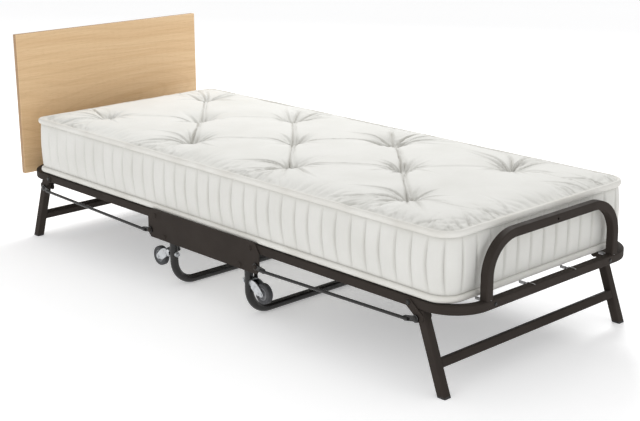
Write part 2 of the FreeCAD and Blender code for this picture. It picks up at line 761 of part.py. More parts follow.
def castor_axle():
    pin = cylinder_y(wheel_x, wheel_z, axle_radius, hoop_y - fork_reach - axle_head,
                     hoop_y + fork_reach + axle_head)
    heads = []
    for s in (-1, 1):
        y0, y1 = sorted((hoop_y + s * fork_reach, hoop_y + s * (fork_reach + axle_head)))
        heads.append(cylinder_y(wheel_x, wheel_z, axle_head_radius, y0, y1))
    return fuse([pin] + heads)


def castor_wheel():
    y0 = hoop_y - wheel_width / 2
    y1 = hoop_y + wheel_width / 2
    hub = cylinder_y(wheel_x, wheel_z, hub_radius, y0 + hub_recess, y1 - hub_recess)
    boss_reach = wheel_width / 2 + fork_gap - side_gap
    boss = cylinder_y(wheel_x, wheel_z, boss_radius, hoop_y - boss_reach, hoop_y + boss_reach)
    hub = fuse([hub, boss])
    for s in (-1, 1):
        a, b = sorted((hoop_y + s * hub_web, hoop_y + s * (wheel_width / 2 - hub_recess)))
        ring = cylinder_y(wheel_x, wheel_z, hub_radius - hub_rim, a, b)
        hub = hub.cut(ring.cut(cylinder_y(wheel_x, wheel_z, boss_radius, a, b)))
    hub = hub.cut(cylinder_y(wheel_x, wheel_z, axle_radius + running_gap, y0 - fork_gap, y1 + fork_gap))
    tyre = cylinder_y(wheel_x, wheel_z, wheel_radius, y0, y1)
    tyre = tyre.cut(cylinder_y(wheel_x, wheel_z, hub_radius, y0 - cut_margin, y1 + cut_margin))
    rims = [e for e in tyre.Edges if e.BoundBox.ZLength > 2 * hub_radius + 1 and e.BoundBox.YLength < 1]
    return tyre.makeFillet(tyre_shoulder, rims), hub


def castors():
    keep_pair("castor_stems", both_sides([castor_stem()]))
    fork = castor_fork()
    axle = castor_axle()
    tyre, hub = castor_wheel()
    for name, shapes in (("castor_fork", [fork, axle]), ("castor_tyre", [tyre]), ("castor_hub", [hub])):
        keep_pair(name + "_right", shapes)
        keep_pair(name + "_left", [mirror_y(shape) for shape in shapes])


# ---- mattress ----
def mattress_block(x0, x1, rounded):
    block = box(x0, x1, -mattress_width / 2, mattress_width / 2,
                mattress_bottom, mattress_bottom + mattress_height)
    if rounded is None:
        return block
    edges = [e for e in block.Edges if abs(e.BoundBox.XMin - rounded) < 0.01
             and abs(e.BoundBox.XMax - rounded) < 0.01 and e.BoundBox.ZLength > mattress_height - 1]
    return block.makeFillet(mattress_corner, edges)


def mattress():
    keep("mattress_head", mattress_block(-mattress_head_x, -mattress_split, -mattress_head_x))
    keep("mattress_foot", mattress_block(mattress_split, mattress_foot_x, mattress_foot_x))
    inner = mattress_split - soft_gap
    keep("mattress_middle", mattress_block(-inner, inner, None))


carriage()
half_frames()
headboard()
end_legs()
leg_rods()
centre_legs()
castors()
mattress()

os.makedirs("parts", exist_ok=True)
for name, shapes in nodes.items():
    for shape in shapes:
        shape.translate(vec(row_shift, 0, 0))
        if not shape.isValid():
            print("not valid:", name)
    solids = [solid for shape in shapes for solid in shape.Solids]
    whole = solids[0] if len(solids) == 1 else Part.makeCompound(solids)
    whole.exportStep("parts/" + name + ".step")
print(len(nodes), "nodes, shift", row_shift)
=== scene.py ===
import json
import random
from math import atan2, copysign, cos, dist, hypot, pi, radians, sin, sqrt

import bmesh
import bpy
import numpy as np
from mathutils import Matrix, Vector


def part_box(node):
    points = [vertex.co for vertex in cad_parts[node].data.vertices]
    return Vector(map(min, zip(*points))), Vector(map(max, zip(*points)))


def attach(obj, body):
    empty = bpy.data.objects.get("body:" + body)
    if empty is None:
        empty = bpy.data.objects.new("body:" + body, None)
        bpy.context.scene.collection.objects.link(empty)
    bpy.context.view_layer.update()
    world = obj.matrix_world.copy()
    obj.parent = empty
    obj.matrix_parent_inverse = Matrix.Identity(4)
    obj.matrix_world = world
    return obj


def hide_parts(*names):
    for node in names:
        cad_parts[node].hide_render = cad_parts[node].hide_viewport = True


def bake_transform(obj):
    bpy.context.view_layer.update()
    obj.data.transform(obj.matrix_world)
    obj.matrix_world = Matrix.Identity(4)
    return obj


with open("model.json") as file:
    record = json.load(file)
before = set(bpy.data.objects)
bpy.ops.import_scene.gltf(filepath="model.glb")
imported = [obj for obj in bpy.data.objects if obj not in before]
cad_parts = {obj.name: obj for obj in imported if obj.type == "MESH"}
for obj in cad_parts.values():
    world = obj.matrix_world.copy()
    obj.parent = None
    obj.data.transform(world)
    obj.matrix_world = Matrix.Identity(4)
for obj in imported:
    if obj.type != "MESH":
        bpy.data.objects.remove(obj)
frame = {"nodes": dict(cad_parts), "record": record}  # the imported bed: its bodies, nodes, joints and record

scene = bpy.context.scene
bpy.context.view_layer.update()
bedNodes = frame["nodes"]
ends = {"foot": 1, "head": -1}
print("frame loaded:", len(bedNodes), "nodes")


# camera: a longish lens, a little above the bed, off its near foot corner
camera = {
    "place": (2.856, -2.581, 1.330),
    "yaw": 136.82,  # degrees from +X
    "pitch": -16.3,
    "roll": 0.28,
    "lens": 72.9,  # on a 36 mm sensor
}


def putInScene(name, data):
    made = bpy.data.objects.new(name, data)
    scene.collection.objects.link(made)
    return made


def makeCamera():
    data = bpy.data.cameras.new("camera")
    data.lens = camera["lens"]
    data.clip_end = 100
    eye = putInScene("camera", data)
    yaw = radians(camera["yaw"])
    pitch = radians(camera["pitch"])
    forward = Vector((cos(pitch) * cos(yaw), cos(pitch) * sin(yaw), sin(pitch)))
    turn = forward.to_track_quat("-Z", "Y").to_matrix().to_4x4()
    roll = Matrix.Rotation(-radians(camera["roll"]), 4, "Z")
    eye.matrix_world = Matrix.Translation(camera["place"]) @ turn @ roll
    scene.camera = eye


makeCamera()
print("camera placed")


# small helpers for materials
def newMaterial(name):
    material = bpy.data.materials.new(name)
    material.use_nodes = True
    tree = material.node_tree
    return material, tree, tree.nodes["Principled BSDF"]


def feed(tree, node, inputs):
    # each input is linked to a socket or set to a value
    for key, value in inputs.items():
        if hasattr(value, "is_linked"):
            tree.links.new(value, node.inputs[key])
        else:
            node.inputs[key].default_value = value
    return node


def addNode(tree, kind, inputs=None, **settings):
    node = tree.nodes.new(kind)
    for key, value in settings.items():
        setattr(node, key, value)
    return feed(tree, node, inputs or {})


def geometry(tree, kind, inputs, **settings):
    return addNode(tree, "GeometryNode" + kind, inputs, **settings).outputs[0]


def coords(tree, source="Object", scale=(1, 1, 1), turn=(0, 0, 0), move=(0, 0, 0)):
    place = addNode(tree, "ShaderNodeTexCoord")
    return addNode(tree, "ShaderNodeMapping", {
        "Vector": place.outputs[source], "Scale": scale, "Rotation": turn, "Location": move,
    }).outputs["Vector"]


def noise(tree, vector, scale, detail=2.0, roughness=0.5, distortion=0.0):
    return addNode(tree, "ShaderNodeTexNoise", {
        "Vector": vector, "Scale": scale, "Detail": detail, "Roughness": roughness, "Distortion": distortion,
    }).outputs["Fac"]


def ramp(tree, factor, stops):
    node = addNode(tree, "ShaderNodeValToRGB", {"Fac": factor})
    elements = node.color_ramp.elements
    while len(elements) < len(stops):
        elements.new(0.5)
    for element, (position, colour) in zip(elements, stops):
        element.position = position
        element.color = (*colour, 1)
    return node.outputs["Color"]


def between(tree, value, low, high, fromLow=0.0, fromHigh=1.0):
    return addNode(tree, "ShaderNodeMapRange", {
        "Value": value, "From Min": fromLow, "From Max": fromHigh, "To Min": low, "To Max": high,
    }).outputs["Result"]


def math2(tree, operation, a, b):
    return addNode(tree, "ShaderNodeMath", {0: a, 1: b}, operation=operation).outputs[0]


def vectorMath(tree, operation, a, b):
    return addNode(tree, "ShaderNodeVectorMath", {0: a, 1: b}, operation=operation).outputs


def combined(tree, x, y, z):
    return addNode(tree, "ShaderNodeCombineXYZ", {0: x, 1: y, 2: z}).outputs[0]


def shaded(colour, share):
    return tuple(c * share for c in colour)


def mixColour(tree, factor, a, b, blend="MIX"):
    a, b = ((*c, 1) if isinstance(c, tuple) else c for c in (a, b))
    return addNode(tree, "ShaderNodeMix", {0: factor, 6: a, 7: b}, data_type="RGBA", blend_type=blend).outputs[2]


def bump(tree, height, strength, distance, normal=None):
    inputs = {"Height": height, "Strength": strength, "Distance": distance}
    if normal is not None:
        inputs["Normal"] = normal
    return addNode(tree, "ShaderNodeBump", inputs).outputs["Normal"]


def bands(tree, vector, axis, pitch):
    # a sine wave along one axis, one period every pitch metres
    return addNode(tree, "ShaderNodeTexWave", {"Vector": vector, "Scale": 0.31416 / pitch},
                   wave_type="BANDS", bands_direction=axis).outputs["Fac"]


def roundedEdges(tree, radius):
    # the shading normal with edges rounded, and how far it leans from the flat one
    soft = addNode(tree, "ShaderNodeBevel", {"Radius": radius}, samples=4).outputs["Normal"]
    plain = addNode(tree, "ShaderNodeNewGeometry").outputs["Normal"]
    lean = vectorMath(tree, "DOT_PRODUCT", soft, plain)["Value"]
    return soft, between(tree, lean, 0.0, 1.0, 0.995, 0.90)


# finishes
finishes = {
    "paint": {"colour": (0.044, 0.036, 0.031), "worn": (0.09, 0.078, 0.068), "rough": (0.60, 0.72), "gloss": 0.07},
    "blackZinc": {"colour": (0.010, 0.009, 0.008), "worn": (0.09, 0.085, 0.08), "rough": (0.13, 0.24), "gloss": 0.50},
    "zinc": {"colour": (0.66, 0.68, 0.70), "rough": (0.22, 0.42)},
    "springSteel": {"colour": (0.58, 0.58, 0.59), "rough": (0.28, 0.45)},
    "tyre": {"colour": (0.050, 0.051, 0.055), "rough": (0.55, 0.75)},
    "hub": {"colour": (0.20, 0.205, 0.215), "rough": (0.38, 0.52)},
    "cap": {"colour": (0.016, 0.016, 0.016), "rough": (0.45, 0.6)},
    "thread": {"colour": (0.78, 0.765, 0.72), "rough": (0.7, 0.85)},
}


def coatedMetal(name, values, grain, metallic):
    material, tree, shader = newMaterial(name)
    place = coords(tree)
    colour = values["colour"]
    soft, edge = roundedEdges(tree, 0.0012)
    patches = between(tree, noise(tree, place, 45.0, 4.0, 0.65), 0.0, 1.0, 0.46, 0.62)
    wear = math2(tree, "MULTIPLY", math2(tree, "MULTIPLY", edge, patches), 0.7)
    base = ramp(tree, noise(tree, place, 9.0, 3.0), [(0.3, shaded(colour, 0.82)), (0.7, colour)])
    feed(tree, shader, {
        "Base Color": mixColour(tree, wear, base, values["worn"]),
        "Roughness": between(tree, noise(tree, place, 30.0, 3.0), *values["rough"], 0.3, 0.7),
        "Normal": bump(tree, noise(tree, place, grain, 2.0), 0.12, 0.0004, soft),
        "Metallic": metallic,
        "Specular IOR Level": values["gloss"],
    })
    return material


def platedMetal(name, values, streak):
    material, tree, shader = newMaterial(name)
    colour = values["colour"]
    cloud = noise(tree, coords(tree), 60.0, 4.0, 0.6)
    drawn = noise(tree, coords(tree, scale=streak), 40.0, 2.0)
    feed(tree, shader, {
        "Base Color": ramp(tree, cloud, [(0.32, shaded(colour, 0.72)), (0.62, colour)]),
        "Roughness": between(tree, cloud, *values["rough"], 0.3, 0.7),
        "Normal": bump(tree, drawn, 0.10, 0.0003, roundedEdges(tree, 0.0008)[0]),
        "Metallic": 1.0,
    })
    return material


def mouldedPlastic(name, values, texture):
    material, tree, shader = newMaterial(name)
    place = coords(tree)
    colour = values["colour"]
    soft, edge = roundedEdges(tree, 0.0008)
    paler = tuple(min(1.0, c * 1.35 + 0.01) for c in colour)
    base = ramp(tree, noise(tree, place, 25.0, 3.0), [(0.35, colour), (0.75, shaded(colour, 1.12))])
    feed(tree, shader, {
        "Base Color": mixColour(tree, math2(tree, "MULTIPLY", edge, 0.5), base, paler),
        "Roughness": between(tree, noise(tree, place, 80.0), *values["rough"], 0.3, 0.7),
        "Normal": bump(tree, noise(tree, place, texture, 1.0), 0.15, 0.0003, soft),
    })
    return material


wood = {
    "pale": (0.840, 0.595, 0.345),
    "deep": (0.775, 0.525, 0.285),
    "line": (0.560, 0.335, 0.155),
    "rough": (0.34, 0.46),
}


def boardWood(name, shade):
    # straight fine grain along the board, with a faint flat-sawn figure behind it
    material, tree, shader = newMaterial(name)
    drift = between(tree, noise(tree, coords(tree, scale=(1, 1.3, 3.0)), 1.0, 1.0), -0.09, 0.09)
    shift = combined(tree, 0, 0, drift)
    place = coords(tree, turn=(radians(2.0), 0, 0), move=(0, 0, -0.42))
    bent = vectorMath(tree, "ADD", place, shift)[0]
    rings = noise(tree, vectorMath(tree, "MULTIPLY", bent, (1.0, 0.8, 38.0))[0], 1.0, 3.0, 0.55)
    arches = addNode(tree, "ShaderNodeTexWave", {
        "Vector": vectorMath(tree, "MULTIPLY", bent, (1.0, 0.32, 1.25))[0],
        "Scale": 9.0, "Distortion": 1.1, "Detail": 2.0, "Detail Scale": 1.0,
    }, wave_type="RINGS", rings_direction="X").outputs["Fac"]
    fibre = noise(tree, coords(tree, scale=(40, 5.0, 520)), 1.0, 3.0, 0.6)
    pores = noise(tree, coords(tree, scale=(400, 38, 1300)), 1.0, 1.0)
    colour = ramp(tree, rings, [(0.32, wood["deep"]), (0.58, wood["pale"])])
    layers = (
        (0.11, ramp(tree, arches, [(0.0, wood["line"]), (0.16, wood["pale"])]), "MIX"),
        (0.9, ramp(tree, fibre, [(0.30, (0.90, 0.87, 0.82)), (0.62, (1.0, 1.0, 1.0))]), "MULTIPLY"),
        (0.55, ramp(tree, pores, [(0.30, (0.80, 0.73, 0.64)), (0.40, (1, 1, 1))]), "MULTIPLY"),
        # shade darkens a whole copy of the wood; for the edges it is partly painted shade
        (1.0, shade, "MULTIPLY"),
    )
    for factor, layer, blend in layers:
        colour = mixColour(tree, factor, colour, layer, blend)
    smoothest, roughest = wood["rough"]
    feed(tree, shader, {
        "Base Color": colour,
        "Roughness": between(tree, fibre, roughest, smoothest, 0.3, 0.7),
        "Normal": bump(tree, fibre, 0.08, 0.0003),
    })
    return material


cloths = {
    "ticking": {"colour": (0.79, 0.785, 0.752), "shade": (0.735, 0.73, 0.692), "pitch": 0.0011},
    "tape": {"colour": (0.83, 0.82, 0.78), "shade": (0.72, 0.70, 0.65), "pitch": 0.0020},
    "deck": {"colour": (0.029, 0.028, 0.028), "shade": (0.016, 0.016, 0.016), "pitch": 0.0034},
}


def wovenCloth(name, values, depth, sheen, rough=(0.82, 0.95), foldShade=0.0):
    material, tree, shader = newMaterial(name)
    place = coords(tree, "UV")
    warp = bands(tree, place, "X", values["pitch"])
    weft = bands(tree, place, "Y", values["pitch"])
    checker = addNode(tree, "ShaderNodeTexChecker", {
        "Vector": place, "Scale": 1.0 / values["pitch"], "Color1": (1, 1, 1, 1), "Color2": (0, 0, 0, 1),
    }).outputs["Fac"]
    weave = addNode(tree, "ShaderNodeMix", {0: checker, 2: warp, 3: weft}, data_type="FLOAT").outputs[0]
    slub = noise(tree, coords(tree, "UV", scale=(90, 900, 1)), 1.0, 2.0)
    blotch = noise(tree, place, 7.0, 3.0)
    height = math2(tree, "ADD", math2(tree, "MULTIPLY", weave, 0.6), math2(tree, "MULTIPLY", slub, 0.5))
    base = ramp(tree, blotch, [(0.25, values["shade"]), (0.62, values["colour"])])
    threads = ramp(tree, weave, [(0.0, (0.88, 0.88, 0.87)), (0.7, (1, 1, 1))])
    colour = mixColour(tree, 0.7, base, threads, "MULTIPLY")
    if foldShade:
        # painted shade deep in the folds and quilted lines, darker where ambient occlusion finds them
        hollow = addNode(tree, "ShaderNodeAmbientOcclusion", {"Distance": 0.022}, samples=6).outputs["AO"]
        paintedFoldShade = ramp(tree, hollow, [(0.45, (0.52, 0.50, 0.455)), (0.92, (1, 1, 1))])
        colour = mixColour(tree, foldShade, colour, paintedFoldShade, "MULTIPLY")
    feed(tree, shader, {
        "Base Color": colour, "Roughness": between(tree, slub, *rough, 0.3, 0.7),
        "Normal": bump(tree, height, 0.35, depth), "Sheen Weight": sheen, "Sheen Roughness": 0.4,
        "Specular IOR Level": 0.25,
    })
    return material


materials = {
    "frame_paint": coatedMetal("powderCoat", finishes["paint"], 700.0, 0.0),
    "black_zinc": coatedMetal("blackZinc", finishes["blackZinc"], 900.0, 0.25),
    "zinc_plate": platedMetal("zincPlate", finishes["zinc"], (1, 1, 6)),
    "spring_steel": platedMetal("springSteel", finishes["springSteel"], (6, 6, 1)),
    "tyre_rubber": mouldedPlastic("tyreRubber", finishes["tyre"], 1400.0),
    "hub_plastic": mouldedPlastic("hubPlastic", finishes["hub"], 900.0),
    "cap_plastic": mouldedPlastic("capPlastic", finishes["cap"], 900.0),
    "board_oak": boardWood("boardFace", (1, 1, 1)),
    # the edges: the same wood darker, partly the edge band's own tone and partly painted shade
    "board_edge": boardWood("boardEdgeBandAndShade", (0.50, 0.44, 0.38)),
    # the ticking gets painted shade in its folds through foldShade
    "mattress_ticking": wovenCloth("ticking", cloths["ticking"], 0.00025, 0.25, foldShade=0.60),
    "mattress_tape": wovenCloth("tape", cloths["tape"], 0.0005, 0.15),
    "deck_cloth": wovenCloth("deckCloth", cloths["deck"], 0.0006, 0.0, (0.45, 0.65)),
    "seam_thread": mouldedPlastic("seamThread", finishes["thread"], 2500.0),
    "dark_enamel": coatedMetal("darkEnamel", finishes["blackZinc"], 900.0, 0.0),
}


darkTubes = ("leg_rods", "centre_leg", "drive_links")  # glossier and blacker than the frame


def paintFrame():
    # every carried-over node gets the finish of its slot in the record
    for part in frame["record"]["subparts"]:
        node = bedNodes[part["node"]]
        node.data.materials.clear()
        finish = part["material_slot"]
        if part["node"].endswith(darkTubes):
            finish = "dark_enamel"
        elif part["node"] == "carriage_bolts":
            finish = "frame_paint"  # painted over with the plates
        node.data.materials.append(materials[finish])
        node.data.polygons.foreach_set("material_index", [0] * len(node.data.polygons))


paintFrame()
print("finishes made:", len(materials))


# small helpers for meshes
def meshObject(name, points, faces, slots, faceSlots=None, uv=None):
    mesh = bpy.data.meshes.new(name)
    mesh.from_pydata(points, [], faces)
    for slot in slots:
        mesh.materials.append(materials[slot])
    if faceSlots is not None:
        mesh.polygons.foreach_set("material_index", faceSlots)
    mesh.polygons.foreach_set("use_smooth", [True] * len(mesh.polygons))
    if uv is not None:
        layer = mesh.uv_layers.new(name="cloth")
        layer.data.foreach_set("uv", np.asarray(uv, np.float32).ravel())
    mesh.validate()
    mesh.update()
    return putInScene(name, mesh)


def fromShape(name, shape, slots):
    mesh = bpy.data.meshes.new(name)
    shape.to_mesh(mesh)
    shape.free()
    for slot in slots:
        mesh.materials.append(materials[slot])
    return putInScene(name, mesh)


def addRod(shape, sides, radius, depth, place):
    bmesh.ops.create_cone(shape, cap_ends=True, segments=sides, radius1=radius, radius2=radius, depth=depth,
                          matrix=place)


def outerX(box, side):
    # the x of the box's face on one side of the bed: 1 the foot's, -1 the head's
    return box[1].x if side > 0 else box[0].x


def lineMesh(name, lines):
    mesh = bpy.data.meshes.new(name)
    points = []
    edges = []
    for line in lines:
        first = len(points)
        points += [tuple(p) for p in line]
        edges += [(first + i, first + i + 1) for i in range(len(line) - 1)]
    mesh.from_pydata(points, edges, [])
    return mesh


def applyModifiers(made):
    # the evaluated result becomes the piece's own mesh
    graph = bpy.context.evaluated_depsgraph_get()
    result = bpy.data.meshes.new_from_object(made.evaluated_get(graph))
    made.modifiers.clear()
    made.data = result
    return made


def newTree(name, sizes):
    # a tree with named inputs, its group input's outputs, and what its modifier has to be given
    tree = bpy.data.node_groups.new(name, "GeometryNodeTree")
    tree.is_modifier = True
    for way in ("INPUT", "OUTPUT"):
        tree.interface.new_socket("Geometry", in_out=way, socket_type="NodeSocketGeometry")
    values = {}
    for key, size in sizes.items():
        socket = tree.interface.new_socket(key, in_out="INPUT", socket_type="NodeSocketFloat")
        socket.default_value = size
        values[socket.identifier] = size
    return tree, tree.nodes.new("NodeGroupInput").outputs, values


def closeTree(tree, shape, slot):
    # every tree ends as one real, smooth, painted mesh
    real = geometry(tree, "RealizeInstances", {"Geometry": shape})
    smooth = geometry(tree, "SetShadeSmooth", {"Geometry": real})
    painted = geometry(tree, "SetMaterial", {"Geometry": smooth, "Material": materials[slot]})
    tree.links.new(painted, tree.nodes.new("NodeGroupOutput").inputs[0])


def onPoints(tree, given, shape, slot, **more):
    # the shape at each point of the guide, turned by the point's own turn
    turn = geometry(tree, "InputNamedAttribute", {"Name": "turn"}, data_type="FLOAT_VECTOR")
    inputs = {"Points": given["Geometry"], "Instance": shape, "Rotation": turn, **more}
    closeTree(tree, geometry(tree, "InstanceOnPoints", inputs), slot)


def wireTube(tree, line, sides, radius):
    wire = geometry(tree, "CurvePrimitiveCircle", {"Resolution": sides, "Radius": radius})
    return geometry(tree, "CurveToMesh", {"Curve": line, "Profile Curve": wire, "Fill Caps": True})


def grow(name, guide, tree, values):
    # runs a tree on a guide mesh and keeps the plain result
    made = putInScene(name, guide)
    modifier = made.modifiers.new("tree", "NODES")
    modifier.node_group = tree
    for identifier, value in values.items():
        modifier[identifier] = value
    return applyModifiers(made)


# a row of stitches along every edge of the guide mesh
stitchSizes = {"Pitch": 0.0050, "Stitch Length": 0.0034, "Thread Radius": 0.00045}


def stitchTree(slot):
    tree, given, values = newTree("stitchRow" + slot, stitchSizes)
    line = geometry(tree, "MeshToCurve", {"Mesh": given["Geometry"]})
    points = addNode(tree, "GeometryNodeCurveToPoints", {"Curve": line, "Length": given["Pitch"]}, mode="LENGTH")
    stitch = geometry(tree, "MeshUVSphere", {"Segments": 5, "Rings": 4, "Radius": 1.0})
    half = math2(tree, "MULTIPLY", given["Stitch Length"], 0.5)
    thread = given["Thread Radius"]
    size = combined(tree, thread, thread, half)
    row = geometry(tree, "InstanceOnPoints", {
        "Points": points.outputs["Points"], "Instance": stitch,
        "Rotation": points.outputs["Rotation"], "Scale": size,
    })
    closeTree(tree, row, slot)
    return tree, values


def stitchRows(name, lines, slot):
    return grow(name, lineMesh(name, lines), *stitchTree(slot))


# mattress
mattress = {
    "step": 0.0075,  # spacing of the top panel's mesh while it is simulated
    "footCorner": 0.064,  # radius of the corners seen from above
    "headCorner": 0.032,
    "inset": 0.0115,  # the panel's edge lies this far inside the taped edge
    "tapeDrop": 0.0125,  # middle of the top tape below the mattress block's top
    "tapeHalfHeight": 0.009,
    "tapeHalfWidth": 0.0065,
    "crown": 0.016,  # top of the filling above the panel's edge
    "tuftPitch": 0.2268,  # between the rows of tufts along the bed
    "tuftStart": 0.186,  # first row from the head end
    "tuftSide": 0.207,  # tufts of a pair, off the middle line
    "singleShift": 0.021,
    "tuftDepth": 0.016,  # a tuft's stitch below the panel's edge
    "quiltColumns": 14,  # mesh columns between two quilted lines of the border
    "bow": 0.007,  # how far a quilted line bends sideways
    "wallRows": 20,
    "bendReach": 0.225,  # where a half starts to bend, past its hinge
    "frames": 24,  # of cloth
    "highest": 0.020,
    "seed": 11,
}
# folds from tuft to tuft: size, share of it half way, and (height, place across, width) of each wave
doubleFold = (0.0066, 0.62, ((0.85, -0.001, 0.0038), (-1.10, 0.0065, 0.0034), (-0.60, -0.0085, 0.0036)))
singleFold = (0.0098, 0.50, ((-1.0, 0.0, 0.0034), (0.60, 0.0080, 0.0060), (0.20, -0.0090, 0.0060)))
# the top panel as cloth; a negative shrink makes it a little too large
panelCloth = {
    "quality": 6, "mass": 0.15, "tension_stiffness": 40, "compression_stiffness": 20, "shear_stiffness": 8,
    "bending_stiffness": 0.02, "tension_damping": 15, "compression_damping": 15, "shear_damping": 10,
    "air_damping": 4, "use_pressure": True, "uniform_pressure_force": 4.0, "shrink_min": -0.045,
    "vertex_group_mass": "held",
}

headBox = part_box("mattress_head")
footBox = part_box("mattress_foot")
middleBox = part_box("mattress_middle")
padLow = headBox[0].copy()
padHigh = footBox[1].copy()
seamX = (middleBox[0].x + middleBox[1].x) / 2
padMiddleX = (padLow.x + padHigh.x) / 2
padHalfLength = (padHigh.x - padLow.x) / 2
padHalfWidth = padHigh.y
panelHalfLength = padHalfLength - mattress["inset"]
panelHalfWidth = padHalfWidth - mattress["inset"]
tapeZ = padHigh.z - mattress["tapeDrop"]
panelEdgeZ = tapeZ + mattress["tapeHalfHeight"] / 2
lowTapeZ = padLow.z + mattress["tapeHalfHeight"] + 0.0003


def tuftPlaces():
    places = []
    row = 0
    x = padLow.x + mattress["tuftStart"]
    while x < padHigh.x - 0.12:
        if row % 2:
            places.append((x + mattress["singleShift"], -0.011))
        else:
            places += [(x, -mattress["tuftSide"]), (x, mattress["tuftSide"])]
        row += 1
        x += mattress["tuftPitch"]
    return places


def tuftLines(tufts):
    # neighbours in the diamond pattern
    longest = 1.25 * hypot(mattress["tuftPitch"], mattress["tuftSide"])
    lines = []
    for i, a in enumerate(tufts):
        for b in tufts[i + 1:]:
            if abs(a[1] - b[1]) > 0.05 and abs(a[0] - b[0]) > 0.05 and dist(a, b) < longest:
                lines.append((a, b))
    return lines


def cornerRadius(x):
    # of the panel's own edge, for places measured from the mattress's middle
    return np.where(x < 0, mattress["headCorner"], mattress["footCorner"]) - mattress["inset"]


def panelGrid():
    # a rectangular grid whose corners are drawn in to the rounded outline
    a = panelHalfLength
    b = panelHalfWidth
    step = mattress["step"]
    left = np.linspace(padMiddleX - a, seamX, round((seamX - padMiddleX + a) / step) + 1)
    right = np.linspace(seamX, padMiddleX + a, round((padMiddleX + a - seamX) / step) + 1)
    xs = np.concatenate([left, right[1:]]) - padMiddleX
    ys = np.linspace(-b, b, round(2 * b / step) + 1)
    x, y = np.meshgrid(xs, ys, indexing="ij")
    r = cornerRadius(x)
    u = np.clip((np.abs(x) - (a - r)) / r, 0, 1)
    v = np.clip((np.abs(y) - (b - r)) / r, 0, 1)
    cornerX = a - r + r * u * np.sqrt(1 - v * v / 2)
    cornerY = b - r + r * v * np.sqrt(1 - u * u / 2)
    inCorner = (u > 0) & (v > 0)
    x = np.where(inCorner, np.sign(x) * cornerX, x)
    y = np.where(inCorner, np.sign(y) * cornerY, y)
    flat = np.stack([x + padMiddleX, y, np.full_like(x, panelEdgeZ)], axis=2)
    return flat, len(left) - 1


def edgeDistance(x, y):
    a = panelHalfLength
    b = panelHalfWidth
    r = cornerRadius(x - padMiddleX)
    dx = a - np.abs(x - padMiddleX)
    dy = b - np.abs(y)
    rounded = r - np.hypot(np.clip(r - dx, 0, None), np.clip(r - dy, 0, None))
    return np.clip(np.where((dx < r) & (dy < r), rounded, np.minimum(dx, dy)), 0, None)


def alongLine(x, y, a, b):
    # how far along the line from a to b, 0 to 1, and how far to its side
    dx = b[0] - a[0]
    dy = b[1] - a[1]
    size = dx * dx + dy * dy
    t = ((x - a[0]) * dx + (y - a[1]) * dy) / size
    side = ((x - a[0]) * dy - (y - a[1]) * dx) / sqrt(size)
    return t, side


def startHeight(x, y, tufts, lines):
    # the filling pulled down at each tuft, with a shallow valley from tuft to tuft
    rise = mattress["crown"] * (1 - np.exp(-edgeDistance(x, y) / 0.034))
    pull = np.zeros_like(x)
    for tx, ty in tufts:
        pull = np.maximum(pull, np.exp(-(np.hypot(x - tx, y - ty) / 0.044) ** 1.0))
    valley = np.zeros_like(x)
    for a, b in lines:
        t, side = alongLine(x, y, a, b)
        inside = np.clip(1 - np.abs(2 * t - 1) ** 6, 0, 1) * (np.abs(t - 0.5) < 0.5)
        valley = np.maximum(valley, inside * np.exp(-(side / 0.016) ** 2))
    return rise - (mattress["crown"] + mattress["tuftDepth"]) * pull - 0.004 * valley


def gridQuads(index):
    corners = index[:-1, :-1], index[1:, :-1], index[1:, 1:], index[:-1, 1:]
    return np.stack(corners, axis=-1).reshape(-1, 4).tolist()


def relax(flat, start, tufts):
    # the panel as cloth: a little too large, held at its edge and its tufts, filled from below
    columns, rows = start.shape[:2]
    index = np.arange(columns * rows).reshape(columns, rows)
    panel = meshObject("panelCloth", start.reshape(-1, 3).tolist(), gridQuads(index), [])
    held = panel.vertex_groups.new(name="held")
    edge = np.concatenate([index[0], index[-1], index[1:-1, 0], index[1:-1, -1]])
    x = flat[..., 0].ravel()
    y = flat[..., 1].ravel()
    pinned = set(edge.tolist())
    for tx, ty in tufts:
        pinned.update(np.flatnonzero(np.hypot(x - tx, y - ty) < 0.007).tolist())
    held.add(sorted(pinned), 1.0, "REPLACE")
    cloth = panel.modifiers.new("cloth", "CLOTH")
    for key, value in panelCloth.items():
        setattr(cloth.settings, key, value)
    cloth.settings.effector_weights.gravity = 0
    cloth.collision_settings.use_collision = False
    cloth.point_cache.frame_end = mattress["frames"] + 1
    for step in range(1, mattress["frames"] + 1):
        scene.frame_set(step)
    result = panel.evaluated_get(bpy.context.evaluated_depsgraph_get()).data
    moved = np.empty(len(result.vertices) * 3, np.float32)
    result.vertices.foreach_get("co", moved)
    moved = moved.reshape(start.shape).astype(float)
    scene.frame_set(1)
    bpy.data.objects.remove(panel)
    print("panel cloth: height", moved[..., 2].min() - panelEdgeZ, moved[..., 2].max() - panelEdgeZ,
          "sideways", np.abs(moved[..., :2] - start[..., :2]).max())
    return moved


def doubled(grid, axis):
    # twice as many points along one axis, on smooth curves through the old ones
    g = np.moveaxis(grid, axis, 0)
    padded = np.concatenate([2 * g[:1] - g[1:2], g, 2 * g[-1:] - g[-2:-1]])
    between2 = (9 * (g[:-1] + g[1:]) - padded[:-3] - padded[3:]) / 16
    out = np.empty((2 * len(g) - 1, *g.shape[1:]))
    out[0::2] = g
    out[1::2] = between2
    return np.moveaxis(out, 0, axis)


def crease(height, x, y, start, aim, reach, curl, width, depth):
    # one groove that leaves start at an angle, bends a little and fades out
    dx = x - start[0]
    dy = y - start[1]
    r = np.hypot(dx, dy) + 1e-9
    off = np.angle(np.exp(1j * (np.arctan2(dy, dx) - aim - curl * r))) * r
    spread = width + 0.014 * r
    near = (np.abs(off) < 3.5 * spread) & (r < 2.2 * reach)
    fade = np.clip(r / 0.010, 0, 1) * np.exp(-(r / reach) ** 3)
    ridge = 0.45 * np.exp(-((np.abs(off) - 1.9 * spread) / (0.9 * spread)) ** 2)
    height += near * depth * fade * (ridge - np.exp(-(off / spread) ** 2))


